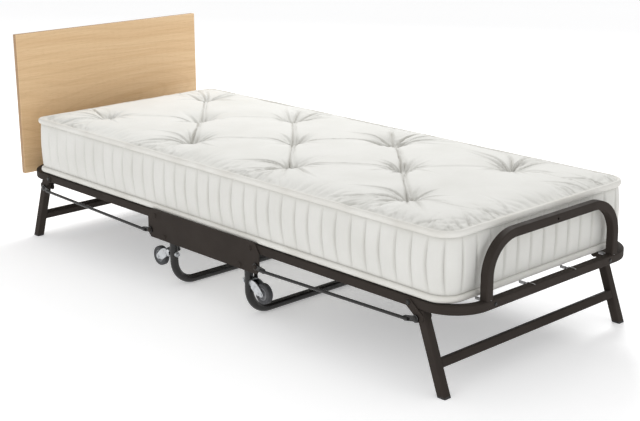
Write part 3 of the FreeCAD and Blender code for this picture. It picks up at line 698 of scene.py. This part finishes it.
def pleats(x, y, tufts, lines):
    # sewn-in folds: a narrow double fold one way, a single crease the other, fans round each tuft
    draw = random.Random(mattress["seed"])
    height = np.zeros_like(x)
    for a, b in lines:
        t, side = alongLine(x, y, a, b)
        toEnd = np.abs(2 * t - 1)
        inside = toEnd < 1
        side = side + draw.uniform(-0.007, 0.007) * np.sin(pi * np.clip(t, 0, 1))
        size, middle, waves = doubleFold if (b[0] - a[0]) * (b[1] - a[1]) < 0 else singleFold
        depth = middle + (1 - middle) * toEnd ** 2
        fold = sum(high * np.exp(-((side - across) / width) ** 2) for high, across, width in waves)
        height += inside * size * depth * fold
    for tx, ty in tufts:
        count = draw.randint(12, 15)
        for k in range(count):
            aim = 2 * pi * (k + draw.uniform(-0.35, 0.35)) / count
            outer = abs(ty) > 0.1 and sin(aim) * ty > 0  # towards the nearer long side
            reach = draw.uniform(0.090, 0.175) if outer else draw.uniform(0.040, 0.095)
            crease(height, x, y, (tx, ty), aim, reach, draw.uniform(-1.8, 1.8), 0.0024,
                   draw.uniform(0.0046, 0.0084))
    return height


def edgePuckers(x, y, tufts):
    # gathers where the panel is sewn under the tape: long and close by the corners and outer tufts
    draw = random.Random(mattress["seed"] + 1)
    height = np.zeros_like(x)
    a = panelHalfLength
    b = panelHalfWidth
    for end in (-1, 1):
        for side in (-1, 1):
            for k in range(9):
                start = (padMiddleX + end * (a - 0.015 - 0.026 * k - draw.uniform(0, 0.012)), side * (b - 0.002))
                aim = atan2(-side * 1.0, -end * draw.uniform(0.25, 0.9))
                crease(height, x, y, start, aim, draw.uniform(0.035, 0.085), draw.uniform(-2, 2), 0.0026,
                       draw.uniform(0.0022, 0.0044) * (1 - k / 14))
            for k in range(8):
                start = (padMiddleX + end * (a - 0.002),
                         side * (b - 0.02 - 0.030 * k - draw.uniform(0, 0.016)))
                aim = atan2(-side * draw.uniform(-0.1, 0.7), -end)
                crease(height, x, y, start, aim, draw.uniform(0.040, 0.110), draw.uniform(-2, 2), 0.0028,
                       draw.uniform(0.0020, 0.0050))
    for tx, ty in tufts:
        if abs(ty) < 0.1:
            continue
        side = copysign(1, ty)
        for k in range(-4, 5):
            start = (tx + 0.024 * k + draw.uniform(-0.006, 0.006), side * (b - 0.002))
            aim = atan2(-side, -k * 0.17 + draw.uniform(-0.15, 0.15))
            crease(height, x, y, start, aim, draw.uniform(0.025, 0.070), draw.uniform(-2, 2), 0.0024,
                   draw.uniform(0.0010, 0.0028))
    return height * np.clip(edgeDistance(x, y) / 0.004, 0, 1)


def topPanel():
    flat, seamColumn = panelGrid()
    tufts = tuftPlaces()
    lines = tuftLines(tufts)
    start = flat.copy()
    start[..., 2] += startHeight(flat[..., 0], flat[..., 1], tufts, lines)
    panel = relax(flat, start, tufts)
    rise = panel[..., 2] - panelEdgeZ
    rise = np.where(rise > 0, rise * (1 - 0.62 * np.exp(-edgeDistance(flat[..., 0], flat[..., 1]) / 0.045)), rise)
    ceiling = mattress["highest"]
    panel[..., 2] = panelEdgeZ + np.where(rise > 0, ceiling * np.tanh(rise / ceiling), rise)
    panel[seamColumn, :, 0] = seamX
    fine = doubled(doubled(panel, 0), 1)
    flatFine = doubled(doubled(flat, 0), 1)
    fine[0], fine[-1] = flatFine[0], flatFine[-1]
    fine[:, 0], fine[:, -1] = flatFine[:, 0], flatFine[:, -1]
    x = flatFine[..., 0]
    y = flatFine[..., 1]
    keepEdge = np.clip(edgeDistance(x, y) / 0.006, 0, 1)
    fine[..., 2] += keepEdge * (pleats(x, y, tufts, lines) + edgePuckers(x, y, tufts))
    return fine, 2 * seamColumn


def borderSection():
    # (kind, outwards or share of the wall, height) from the panel's edge down to the bottom panel
    h = mattress["tapeHalfHeight"]
    w = mattress["tapeHalfWidth"]
    out = w * cos(radians(30))

    def tapeRows(middle):
        turns = [radians(a) for a in range(130, -131, -20)]
        return [("tape", out + w * cos(turn), middle + h * sin(turn)) for turn in turns]

    high = tapeZ - h * 0.80
    low = lowTapeZ + h * 0.80
    count = mattress["wallRows"]
    wall = [("wall", k / count, high + (low - high) * k / count) for k in range(1, count)]
    return tapeRows(tapeZ) + wall + tapeRows(lowTapeZ)


def quilting(count, draw):
    # each column's depth between two quilted lines, and how its line bows
    pitch = mattress["quiltColumns"]
    column = np.arange(count) + pitch // 2
    k = column % pitch
    share = k / pitch
    puff = 1 - np.abs(2 * share - 1) ** 3.2
    groove = np.where(k == 0, 1.0, np.where((k == 1) | (k == pitch - 1), 0.22, 0.0))
    bows = [draw.uniform(0.5, 1.4) for i in range(count // pitch + 3)]
    bow = np.interp(column / pitch, np.arange(len(bows)), bows)
    return puff, groove, bow


def mattressHalf(end, top):
    side = ends[end]
    draw = random.Random(mattress["seed"] + 2 + side)
    columns, rows = top.shape[:2]
    index = np.arange(columns * rows).reshape(columns, rows)
    loop = np.concatenate([index[:, 0], index[-1, 1:], index[-2::-1, -1]])
    points = list(map(tuple, top.reshape(-1, 3)))
    edge = top.reshape(-1, 3)[loop]
    tangent = np.gradient(edge[:, :2], axis=0)
    tangent /= np.linalg.norm(tangent, axis=1, keepdims=True)
    tangent[0] = (side, 0)
    tangent[-1] = (-side, 0)
    outward = np.stack([tangent[:, 1], -tangent[:, 0]], axis=1) * side
    along = np.concatenate([[0], np.cumsum(np.linalg.norm(np.diff(edge[:, :2], axis=0), axis=1))])
    count = len(loop)
    halfCount = count // 2 + 1
    sides = quilting(halfCount, draw), quilting(count - halfCount, draw)
    puff, groove, bow = (np.concatenate([a, b[::-1]]) for a, b in zip(*sides))
    # the head end is filled more tightly, so its quilting shows less
    fromHead = (edge[:, 0] - padLow.x) / (padHigh.x - padLow.x)
    quilted = np.clip(0.42 + 1.3 * fromHead, 0, 1)
    wander = np.interp(along, np.linspace(0, along[-1], 60), [draw.uniform(-0.5, 0.5) for i in range(60)])
    wander[0] = wander[-1] = 0

    rings = [loop.tolist()]
    heights = [0.0]
    kinds = []

    def lifted(z):
        # the top tape wanders up and down a little
        return z + (0.0011 if z > panelEdgeZ - 0.04 else 0.0) * wander

    def addRing(kind, xy, level, z):
        start = len(points)
        points.extend((p[0], p[1], q) for p, q in zip(xy, np.broadcast_to(level, count)))
        rings.append(list(range(start, start + count)))
        kinds.append(kind)
        heights.append(z)

    pucker = np.array([draw.uniform(-1, 1) for i in range(count)])
    pucker[[0, -1]] = 0
    for kind, place, z in borderSection():
        if kind == "wall":
            belly = sin(pi * place) ** 0.55
            out = 0.0032 + belly * (0.0044 + quilted * (0.0030 * puff - 0.0052 * groove) + 0.0007 * wander)
            shift = -mattress["bow"] * bow * (sin(pi * place) - 0.45 * place)
            shift = shift * (np.abs(tangent[:, 0]) ** 2) * np.sign(tangent[:, 0])
            shift[[0, -1]] = 0
            shift *= np.clip(np.minimum(along, along[-1] - along) / 0.05, 0, 1)
        else:
            out = np.full(count, place) + 0.00025 * pucker
            shift = np.zeros(count)
        xy = edge[:, :2] + outward * out[:, None] + tangent * shift[:, None]
        addRing(kind, xy, lifted(z) if kind == "tape" else z, z)
    for inset, rise in ((0.004, 0.0022), (0.012, 0.0006), (0.035, 0.0004)):
        addRing("wall", edge[:, :2] - outward * inset, padLow.z + rise, padLow.z + rise)

    faces = []
    slots = []
    uv = []

    def addFace(corners, slot=0, places=None):
        places = places or [points[c][:2] for c in corners]
        if side < 0:
            corners = corners[::-1]
            places = places[::-1]
        faces.append(corners)
        slots.append(slot)
        uv.extend(places)

    for corners in gridQuads(index):
        addFace(corners)
    steps = ((0, 0), (1, 0), (1, 1), (0, 1))
    for ring in range(len(rings) - 1):
        slot = 1 if kinds[ring] == "tape" and (ring == 0 or kinds[ring - 1] == "tape") else 0
        for c in range(count - 1):
            addFace([rings[ring + i][c + j] for i, j in steps], slot,
                    [(along[c + j], heights[ring + i]) for i, j in steps])
    last = rings[-1]
    for c in range(columns - 1):
        addFace([last[c], last[-1 - c], last[-2 - c], last[c + 1]])
    addFace(last[columns - 1:count - columns + 1][::-1])
    shell = len(faces)
    near = [ring[0] for ring in rings]
    far = [ring[-1] for ring in rings]
    wall = [int(k) for k in index[0]] + far[1:] + near[:0:-1]
    addFace(wall, 0, [points[k][1:] for k in wall])
    made = meshObject(end + "Mattress", points, faces, ["mattress_ticking", "mattress_tape"], slots, uv)
    # where the tape's stitches run, just proud of it
    rows = []
    for z, turn in ((tapeZ, 50), (tapeZ, -52), (lowTapeZ, 50)):
        lean = radians(turn)
        out = mattress["tapeHalfWidth"] * (cos(radians(30)) + cos(lean)) + 0.0002
        level = lifted(z + mattress["tapeHalfHeight"] * sin(lean))
        rows.append(np.column_stack([edge[:, :2] + outward * out, level]))
    return made, shell, rows


def seamKey(mesh, v):
    return tuple(round(c, 4) for c in mesh.vertices[v].co)


def matchSeam(halves):
    # both halves shade alike where they meet, as if they were one piece
    meeting = {}
    capVertices = []
    for made, shell, rows in halves:
        mesh = made.data
        cap = set(mesh.polygons[shell].vertices)
        found = {}
        for polygon in mesh.polygons:
            if polygon.index != shell:
                for v in cap.intersection(polygon.vertices):
                    found[v] = found.get(v, Vector()) + polygon.normal * polygon.area
        for v, n in found.items():
            key = seamKey(mesh, v)
            meeting[key] = meeting.get(key, Vector()) + n
        capVertices.append(found)
    for (made, shell, rows), found in zip(halves, capVertices):
        mesh = made.data
        seam = {v: meeting[seamKey(mesh, v)].normalized() for v in found}
        capNormal = mesh.polygons[shell].normal.copy()
        corners = np.empty(len(mesh.loops) * 3, np.float32)
        mesh.corner_normals.foreach_get("vector", corners)
        corners = corners.reshape(-1, 3)
        capLoops = set(mesh.polygons[shell].loop_indices)
        for loop in mesh.loops:
            if loop.index in capLoops:
                corners[loop.index] = capNormal
            elif loop.vertex_index in seam:
                corners[loop.index] = seam[loop.vertex_index]
        for e in mesh.edges:
            if e.vertices[0] in seam and e.vertices[1] in seam:
                e.use_edge_sharp = True
        mesh.normals_split_custom_set(corners.tolist())


def buildMattress():
    panel, seamColumn = topPanel()
    halves = []
    for end in ends:
        top = panel[seamColumn:] if end == "foot" else panel[seamColumn::-1]
        halves.append(mattressHalf(end, top))
    matchSeam(halves)
    for (made, shell, rows), end in zip(halves, ends):
        thread = stitchRows(end + "TapeStitches", rows, "seam_thread")
        for piece in (made, thread):
            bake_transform(piece)
    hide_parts("mattress_foot", "mattress_middle")
    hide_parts("mattress_head")
    print("mattress made:", [len(made.data.polygons) for made, shell, rows in halves], "faces")


buildMattress()


# castor forks: pressed steel cheeks swept back from a round crown to the axle
fork = {
    "inside": 0.0110,  # cheek's inner face from the wheel's middle
    "thickness": 0.0025,
    "round": 0.0007,
    "crownRadius": 0.0150,
    "eyeRadius": 0.0085,
    "rootHalf": 0.0118,  # half the cheek's width at the crown
    "upperLean": ((0.014, 0.0150), (-0.012, 0.026)),  # from the crown, from the axle
    "lowerLean": ((0.018, -0.0230), (-0.022, -0.010)),
    "steps": 9,
    "axleHead": 0.0048,
}


def curveThrough(a, b, c, d, steps):
    # a cubic from a to d that leans on b and c
    points = []
    for k in range(steps + 1):
        t = k / steps
        w = ((1 - t) ** 3, 3 * t * (1 - t) ** 2, 3 * t * t * (1 - t), t ** 3)
        points.append(tuple(sum(wi * p[axis] for wi, p in zip(w, (a, b, c, d))) for axis in (0, 1)))
    return points


def buildFork(end, side):
    outward = ends[end]
    body = f"{end}_castor_{side}"
    node = f"{end}_castor_fork_{side}"
    low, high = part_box(node)
    tyreLow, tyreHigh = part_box(f"{end}_castor_tyre_{side}")
    wheel = (tyreLow + tyreHigh) / 2
    crownX = outerX((low, high), -outward)
    stemZ = high.z - fork["crownRadius"]
    reach = abs(wheel.x - crownX)
    drop = wheel.z - stemZ
    eye = fork["eyeRadius"]
    root = fork["rootHalf"]
    (upperNear, upperFar), (lowerNear, lowerFar) = fork["upperLean"], fork["lowerLean"]
    upper = [(0.0, root), upperNear, (reach + upperFar[0], drop + upperFar[1]), (reach + 0.004, drop + eye * 0.88)]
    lower = [(reach - 0.006, drop - eye * 0.70), (reach + lowerFar[0], drop + lowerFar[1]), lowerNear, (0.0, -root)]
    rim = []
    for k in range(1, 12):
        turn = radians(62 - k * 16)
        rim.append((reach + eye * cos(turn), drop + eye * sin(turn)))
    outline = curveThrough(*upper, fork["steps"]) + rim + curveThrough(*lower, fork["steps"])
    shape = bmesh.new()
    for s in (-1, 1):
        y0 = wheel.y + s * fork["inside"]
        y1 = y0 + s * fork["thickness"]
        near = [shape.verts.new((crownX + outward * u, y0, stemZ + z)) for u, z in outline]
        far = [shape.verts.new((crownX + outward * u, y1, stemZ + z)) for u, z in outline]
        shape.faces.new(near)
        shape.faces.new(far[::-1])
        for k in range(len(outline)):
            n = (k + 1) % len(outline)
            shape.faces.new((near[n], near[k], far[k], far[n]))
        head = Matrix.Translation((wheel.x, y1 + s * 0.0009, wheel.z)) @ Matrix.Rotation(radians(90), 4, "X")
        addRod(shape, 20, fork["axleHead"], 0.0020, head)
    crownMiddle = crownX + outward * fork["thickness"] / 2
    turn = Matrix.Rotation(radians(90), 4, "Y")
    addRod(shape, 40, fork["crownRadius"], fork["thickness"],
           Matrix.Translation((crownMiddle, wheel.y, stemZ)) @ turn)
    half = fork["inside"] + fork["thickness"]
    bridge = bmesh.ops.create_cube(shape, size=1.0)["verts"]
    for v in bridge:
        v.co = Vector((crownMiddle + v.co.x * fork["thickness"], wheel.y + 2 * half * v.co.y,
                       stemZ + 2 * root * v.co.z))
    bmesh.ops.recalc_face_normals(shape, faces=shape.faces[:])
    made = fromShape(end + "Fork" + side, shape, ["zinc_plate"])
    soft = made.modifiers.new("round", "BEVEL")
    soft.width = fork["round"]
    soft.segments = 2
    soft.limit_method = "ANGLE"
    applyModifiers(made)
    for face in made.data.polygons:
        face.use_smooth = abs(max(face.normal, key=abs)) < 0.9995
    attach(made, body)
    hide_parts(node)


# tread blocks round each tyre
tread = {"count": 30, "sink": 0.0007}
treadBlock = {"Block Length": 0.0125, "Block Width": 0.0030, "Block Height": 0.0012}


def treadTree():
    tree, given, values = newTree("treadRing", treadBlock)
    size = combined(tree, given["Block Height"], given["Block Width"], given["Block Length"])
    block = geometry(tree, "MeshCube", {"Size": size})
    onPoints(tree, given, block, "tyre_rubber")
    return tree, values


def buildTread(end, side):
    low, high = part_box(f"{end}_castor_tyre_{side}")
    middle = (low + high) / 2
    radius = (high.z - low.z) / 2 - tread["sink"]
    rows = []
    for k in range(tread["count"]):
        turn = 2 * pi * k / tread["count"]
        place = (middle.x + radius * cos(turn), middle.y, middle.z + radius * sin(turn))
        rows.append((place, (radians(90), -turn, 0), 1.0))
    name = end + "Tread" + side
    made = grow(name, pointMesh(name, rows), *treadTree())
    for face in made.data.polygons:
        face.use_smooth = False
    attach(made, f"{end}_wheel_{side}")


for end in ends:
    for side in ("left", "right"):
        buildFork(end, side)
print("castor forks made")


# headboard: a laminated board whose edges take a darker copy of its wood, partly the edge bands' own tone and partly
# painted shade
headboard = {"round": 0.0016, "steps": 3}


def buildHeadboard():
    low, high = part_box("headboard")
    shape = bmesh.new()
    bmesh.ops.create_cube(shape, size=1.0)
    for v in shape.verts:
        v.co = Vector([low[k] if v.co[k] < 0 else high[k] for k in range(3)])
    bmesh.ops.bevel(shape, geom=shape.edges[:], offset=headboard["round"], segments=headboard["steps"],
                    profile=0.5, affect="EDGES", clamp_overlap=True)
    bmesh.ops.recalc_face_normals(shape, faces=shape.faces[:])
    made = fromShape("headboardPanel", shape, ["board_oak", "board_edge"])
    for face in made.data.polygons:
        # edge faces take the darker copy of the wood, which is partly painted shade
        face.material_index = 0 if abs(face.normal.x) > 0.6 else 1
        face.use_smooth = abs(max(face.normal, key=abs)) < 0.999
    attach(made, "head_frame")
    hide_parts("headboard")


buildHeadboard()
print("headboard made")


# sprung decks: a woven sheet with hemmed edges, hung in its half frame on coil springs
deck = {"thickness": 0.0018, "cells": 0.022, "hem": 0.0041, "hemSides": 12, "seam": 0.009, "notch": 0.020}


def hemTube(shape, a, b, radius):
    run = b - a
    turn = run.to_track_quat("Z", "Y").to_matrix().to_4x4()
    addRod(shape, deck["hemSides"], radius, run.length, Matrix.Translation((a + b) / 2) @ turn)


def buildDeck(end):
    low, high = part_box(end + "_deck")
    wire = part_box(end + "_hem_wire")
    top = high.z
    level = (wire[0].z + wire[1].z) / 2
    inset = deck["hem"]
    notch = deck["notch"]
    xs = np.linspace(low.x + inset, high.x - inset, round((high.x - low.x) / deck["cells"]) + 1)
    ys = np.linspace(low.y + inset, high.y - inset, round((high.y - low.y) / deck["cells"]) + 1)
    shape = bmesh.new()
    grid = {}
    for i, x in enumerate(xs):
        for j, y in enumerate(ys):
            grid[i, j] = shape.verts.new((x, y, top - deck["thickness"]))
    for i in range(len(xs) - 1):
        for j in range(len(ys) - 1):
            middleX = (xs[i] + xs[i + 1]) / 2
            middleY = (ys[j] + ys[j + 1]) / 2
            atEnd = min(middleX - low.x, high.x - middleX) < notch
            atSide = min(middleY - low.y, high.y - middleY) < notch
            if not (atEnd and atSide):
                shape.faces.new((grid[i, j], grid[i + 1, j], grid[i + 1, j + 1], grid[i, j + 1]))
    for v in [v for v in shape.verts if not v.link_faces]:
        shape.verts.remove(v)
    made = fromShape(end + "DeckSheet", shape, [])
    solid = made.modifiers.new("thickness", "SOLIDIFY")
    solid.thickness = deck["thickness"]
    solid.offset = 1.0
    applyModifiers(made)
    shape = bmesh.new()
    shape.from_mesh(made.data)
    corners = ((low.x, low.y), (high.x, low.y), (high.x, high.y), (low.x, high.y))
    seams = []
    for k in range(4):
        a = Vector((*corners[k], level))
        b = Vector((*corners[(k + 1) % 4], level))
        run = (b - a).normalized()
        inward = Vector((-run.y, run.x, 0))
        a += run * (notch + inset) + inward * inset
        b += -run * (notch + inset) + inward * inset
        hemTube(shape, a, b, deck["hem"])
        for rise in (0.0002, -deck["thickness"] - 0.0002):
            lift = Vector((0, 0, top - level + rise)) + inward * (deck["seam"] - inset)
            seams.append([a + lift, b + lift])
    bmesh.ops.recalc_face_normals(shape, faces=shape.faces[:])
    layer = shape.loops.layers.uv.new("cloth")
    for face in shape.faces:
        face.smooth = abs(face.normal.z) < 0.99
        for loop in face.loops:
            loop[layer].uv = loop.vert.co.xy
    shape.to_mesh(made.data)
    shape.free()
    made.data.materials.clear()
    made.data.materials.append(materials["deck_cloth"])
    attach(made, end + "_frame")
    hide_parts(end + "_deck")
    thread = stitchRows(end + "DeckStitches", seams, "seam_thread")
    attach(thread, end + "_frame")


# tension springs between the rails and the deck's hem wire
springSizes = {"Turns": 11.0, "Coil Radius": 0.0036, "Wire Radius": 0.00075, "Hook Radius": 0.0050}
spring = {
    "coilShare": (0.22, 0.72),  # where the coil starts and ends along the spring
    "perSide": 7,
    "perEnd": 4,
    "endPitch": 0.1717,
    "overRail": 0.026,  # how far an end spring's hook reaches over its rail
    "hookWire": springSizes["Wire Radius"] * 1.6,
}


def springTree(length):
    # one spring of this length, with its own length scaled at each point
    tree, given, values = newTree("tensionSpring", springSizes)
    coilStart, coilEnd = spring["coilShare"]

    def moved(shape, place, turn=(0, 0, 0)):
        return geometry(tree, "Transform", {
            "Geometry": shape, "Rotation": turn, "Translation": place,
        })

    def straight(start, end):
        return geometry(tree, "CurvePrimitiveLine", {"Start": start, "End": end})

    coil = moved(geometry(tree, "CurveSpiral", {
        "Resolution": 12, "Rotations": given["Turns"], "Start Radius": given["Coil Radius"],
        "End Radius": given["Coil Radius"], "Height": length * (coilEnd - coilStart),
    }), (0, 0, length * coilStart))
    tail = straight((0, 0, -0.001), (0, 0.0036, length * coilStart))
    lead = straight((0, 0.0036, length * coilEnd), (0, 0.0050, length * 1.10))
    hook = moved(geometry(tree, "CurveArc", {
        "Resolution": 14, "Radius": given["Hook Radius"],
        "Start Angle": radians(90), "Sweep Angle": radians(215),
    }), (0, 0, length + springSizes["Hook Radius"]), (0, radians(90), 0))
    joined = tree.nodes.new("GeometryNodeJoinGeometry")
    for part in (coil, tail, lead, hook):
        tree.links.new(part, joined.inputs[0])
    tube = wireTube(tree, joined.outputs[0], 6, given["Wire Radius"])
    reach = geometry(tree, "InputNamedAttribute", {"Name": "reach"}, data_type="FLOAT")
    onPoints(tree, given, tube, "spring_steel", Scale=combined(tree, 1, 1, reach))
    return tree, values


def railHookTree():
    tree, given, values = newTree("railHook", {"Wire Radius": spring["hookWire"]})
    line = geometry(tree, "MeshToCurve", {"Mesh": given["Geometry"]})
    closeTree(tree, wireTube(tree, line, 8, given["Wire Radius"]), "spring_steel")
    return tree, values


def pointMesh(name, rows):
    # one point for each spring, with its turn and how its length is scaled
    mesh = bpy.data.meshes.new(name)
    mesh.from_pydata([row[0] for row in rows], [], [])
    turn = mesh.attributes.new("turn", "FLOAT_VECTOR", "POINT")
    turn.data.foreach_set("vector", np.array([row[1] for row in rows], np.float32).ravel())
    reach = mesh.attributes.new("reach", "FLOAT", "POINT")
    reach.data.foreach_set("value", [row[2] for row in rows])
    return mesh


def buildSprings(end):
    side = ends[end]
    deckLow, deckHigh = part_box(end + "_deck")
    allLow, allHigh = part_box(end + "_deck_springs")
    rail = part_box(end + "_side_rail")
    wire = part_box(end + "_hem_wire")
    level = (wire[0].z + wire[1].z) / 2
    outerDeck = outerX((deckLow, deckHigh), side)
    innerDeck = outerX((deckLow, deckHigh), -side)
    outerRail = outerX((allLow, allHigh), side)
    innerTube = outerX((allLow, allHigh), -side)
    rows = []
    sideReach = allHigh.y - deckHigh.y
    for i in range(spring["perSide"]):
        x = innerDeck + (outerDeck - innerDeck) * (i + 0.5) / spring["perSide"]
        for s in (-1, 1):
            aim = (radians(90 * s), 0, 0)
            rows.append(((x, s * allHigh.y, level), aim, 1.0))
    hooks = []
    for i in range(spring["perEnd"]):
        y = spring["endPitch"] * (i - (spring["perEnd"] - 1) / 2)
        outward = (0, radians(-90 * side), 0)
        inward = (0, radians(90 * side), 0)
        rows.append(((outerRail, y, level), outward, abs(outerRail - outerDeck) / sideReach))
        rows.append(((innerTube, y, level), inward, abs(innerDeck - innerTube) / sideReach))
        top = rail[1].z + spring["hookWire"]
        far = outerRail + side * spring["overRail"]
        hooks.append([(outerRail - side * 0.006, y, level + 0.003), (outerRail - side * 0.003, y, top - 0.003),
                      (outerRail + side * 0.001, y, top), (far - side * 0.006, y, top),
                      (far - side * 0.002, y, top - 0.0004)])
    coils = grow(end + "DeckSprings", pointMesh(end + "DeckSprings", rows), *springTree(sideReach))
    over = grow(end + "RailHooks", lineMesh(end + "RailHooks", hooks), *railHookTree())
    for piece in (coils, over):
        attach(piece, end + "_frame")
    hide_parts(end + "_deck_springs")


for end in ends:
    buildDeck(end)
    buildSprings(end)
    for side in ("left", "right"):
        buildTread(end, side)
print("decks, springs and treads made")


# stage
stage = {"size": 60.0, "floor": (0.93, 0.93, 0.935), "glow": 0.33, "world": 0.70}
# name, place, target, size, power
lamps = (
    ("farKey", (-1.7, 2.6, 2.9), (0.0, 0.0, 0.3), 1.1, 98.0),
    ("nearSide", (0.6, -3.8, 2.2), (0.0, 0.0, 0.3), 2.2, 20.0),
    ("footSide", (4.2, 0.6, 1.8), (-0.8, 0.0, 0.45), 1.8, 7.0),
)


def makeStage():
    bpy.ops.mesh.primitive_plane_add(size=stage["size"])
    floor = bpy.context.object
    floor.name = "floor"
    material, tree, shader = newMaterial("floorPaper")
    pale = stage["floor"]
    feed(tree, shader, {
        "Base Color": ramp(tree, noise(tree, coords(tree), 0.6, 2.0), [(0.3, shaded(pale, 0.985)), (0.7, pale)]),
        "Roughness": 0.8, "Specular IOR Level": 0.1,
        "Emission Color": (1, 1, 1, 1), "Emission Strength": stage["glow"],
    })
    floor.data.materials.append(material)
    world = bpy.data.worlds.new("studio")
    scene.world = world
    world.use_nodes = True
    feed(world.node_tree, world.node_tree.nodes["Background"], {"Color": (1, 1, 1, 1), "Strength": stage["world"]})
    for name, place, target, size, power in lamps:
        data = bpy.data.lights.new(name, "AREA")
        data.shape = "SQUARE"
        data.size = size
        data.energy = power
        lamp = putInScene(name, data)
        lamp.location = place
        lamp.rotation_euler = (Vector(target) - Vector(place)).to_track_quat("-Z", "Y").to_euler()
    scene.view_settings.view_transform = "Standard"


makeStage()
print("stage set")
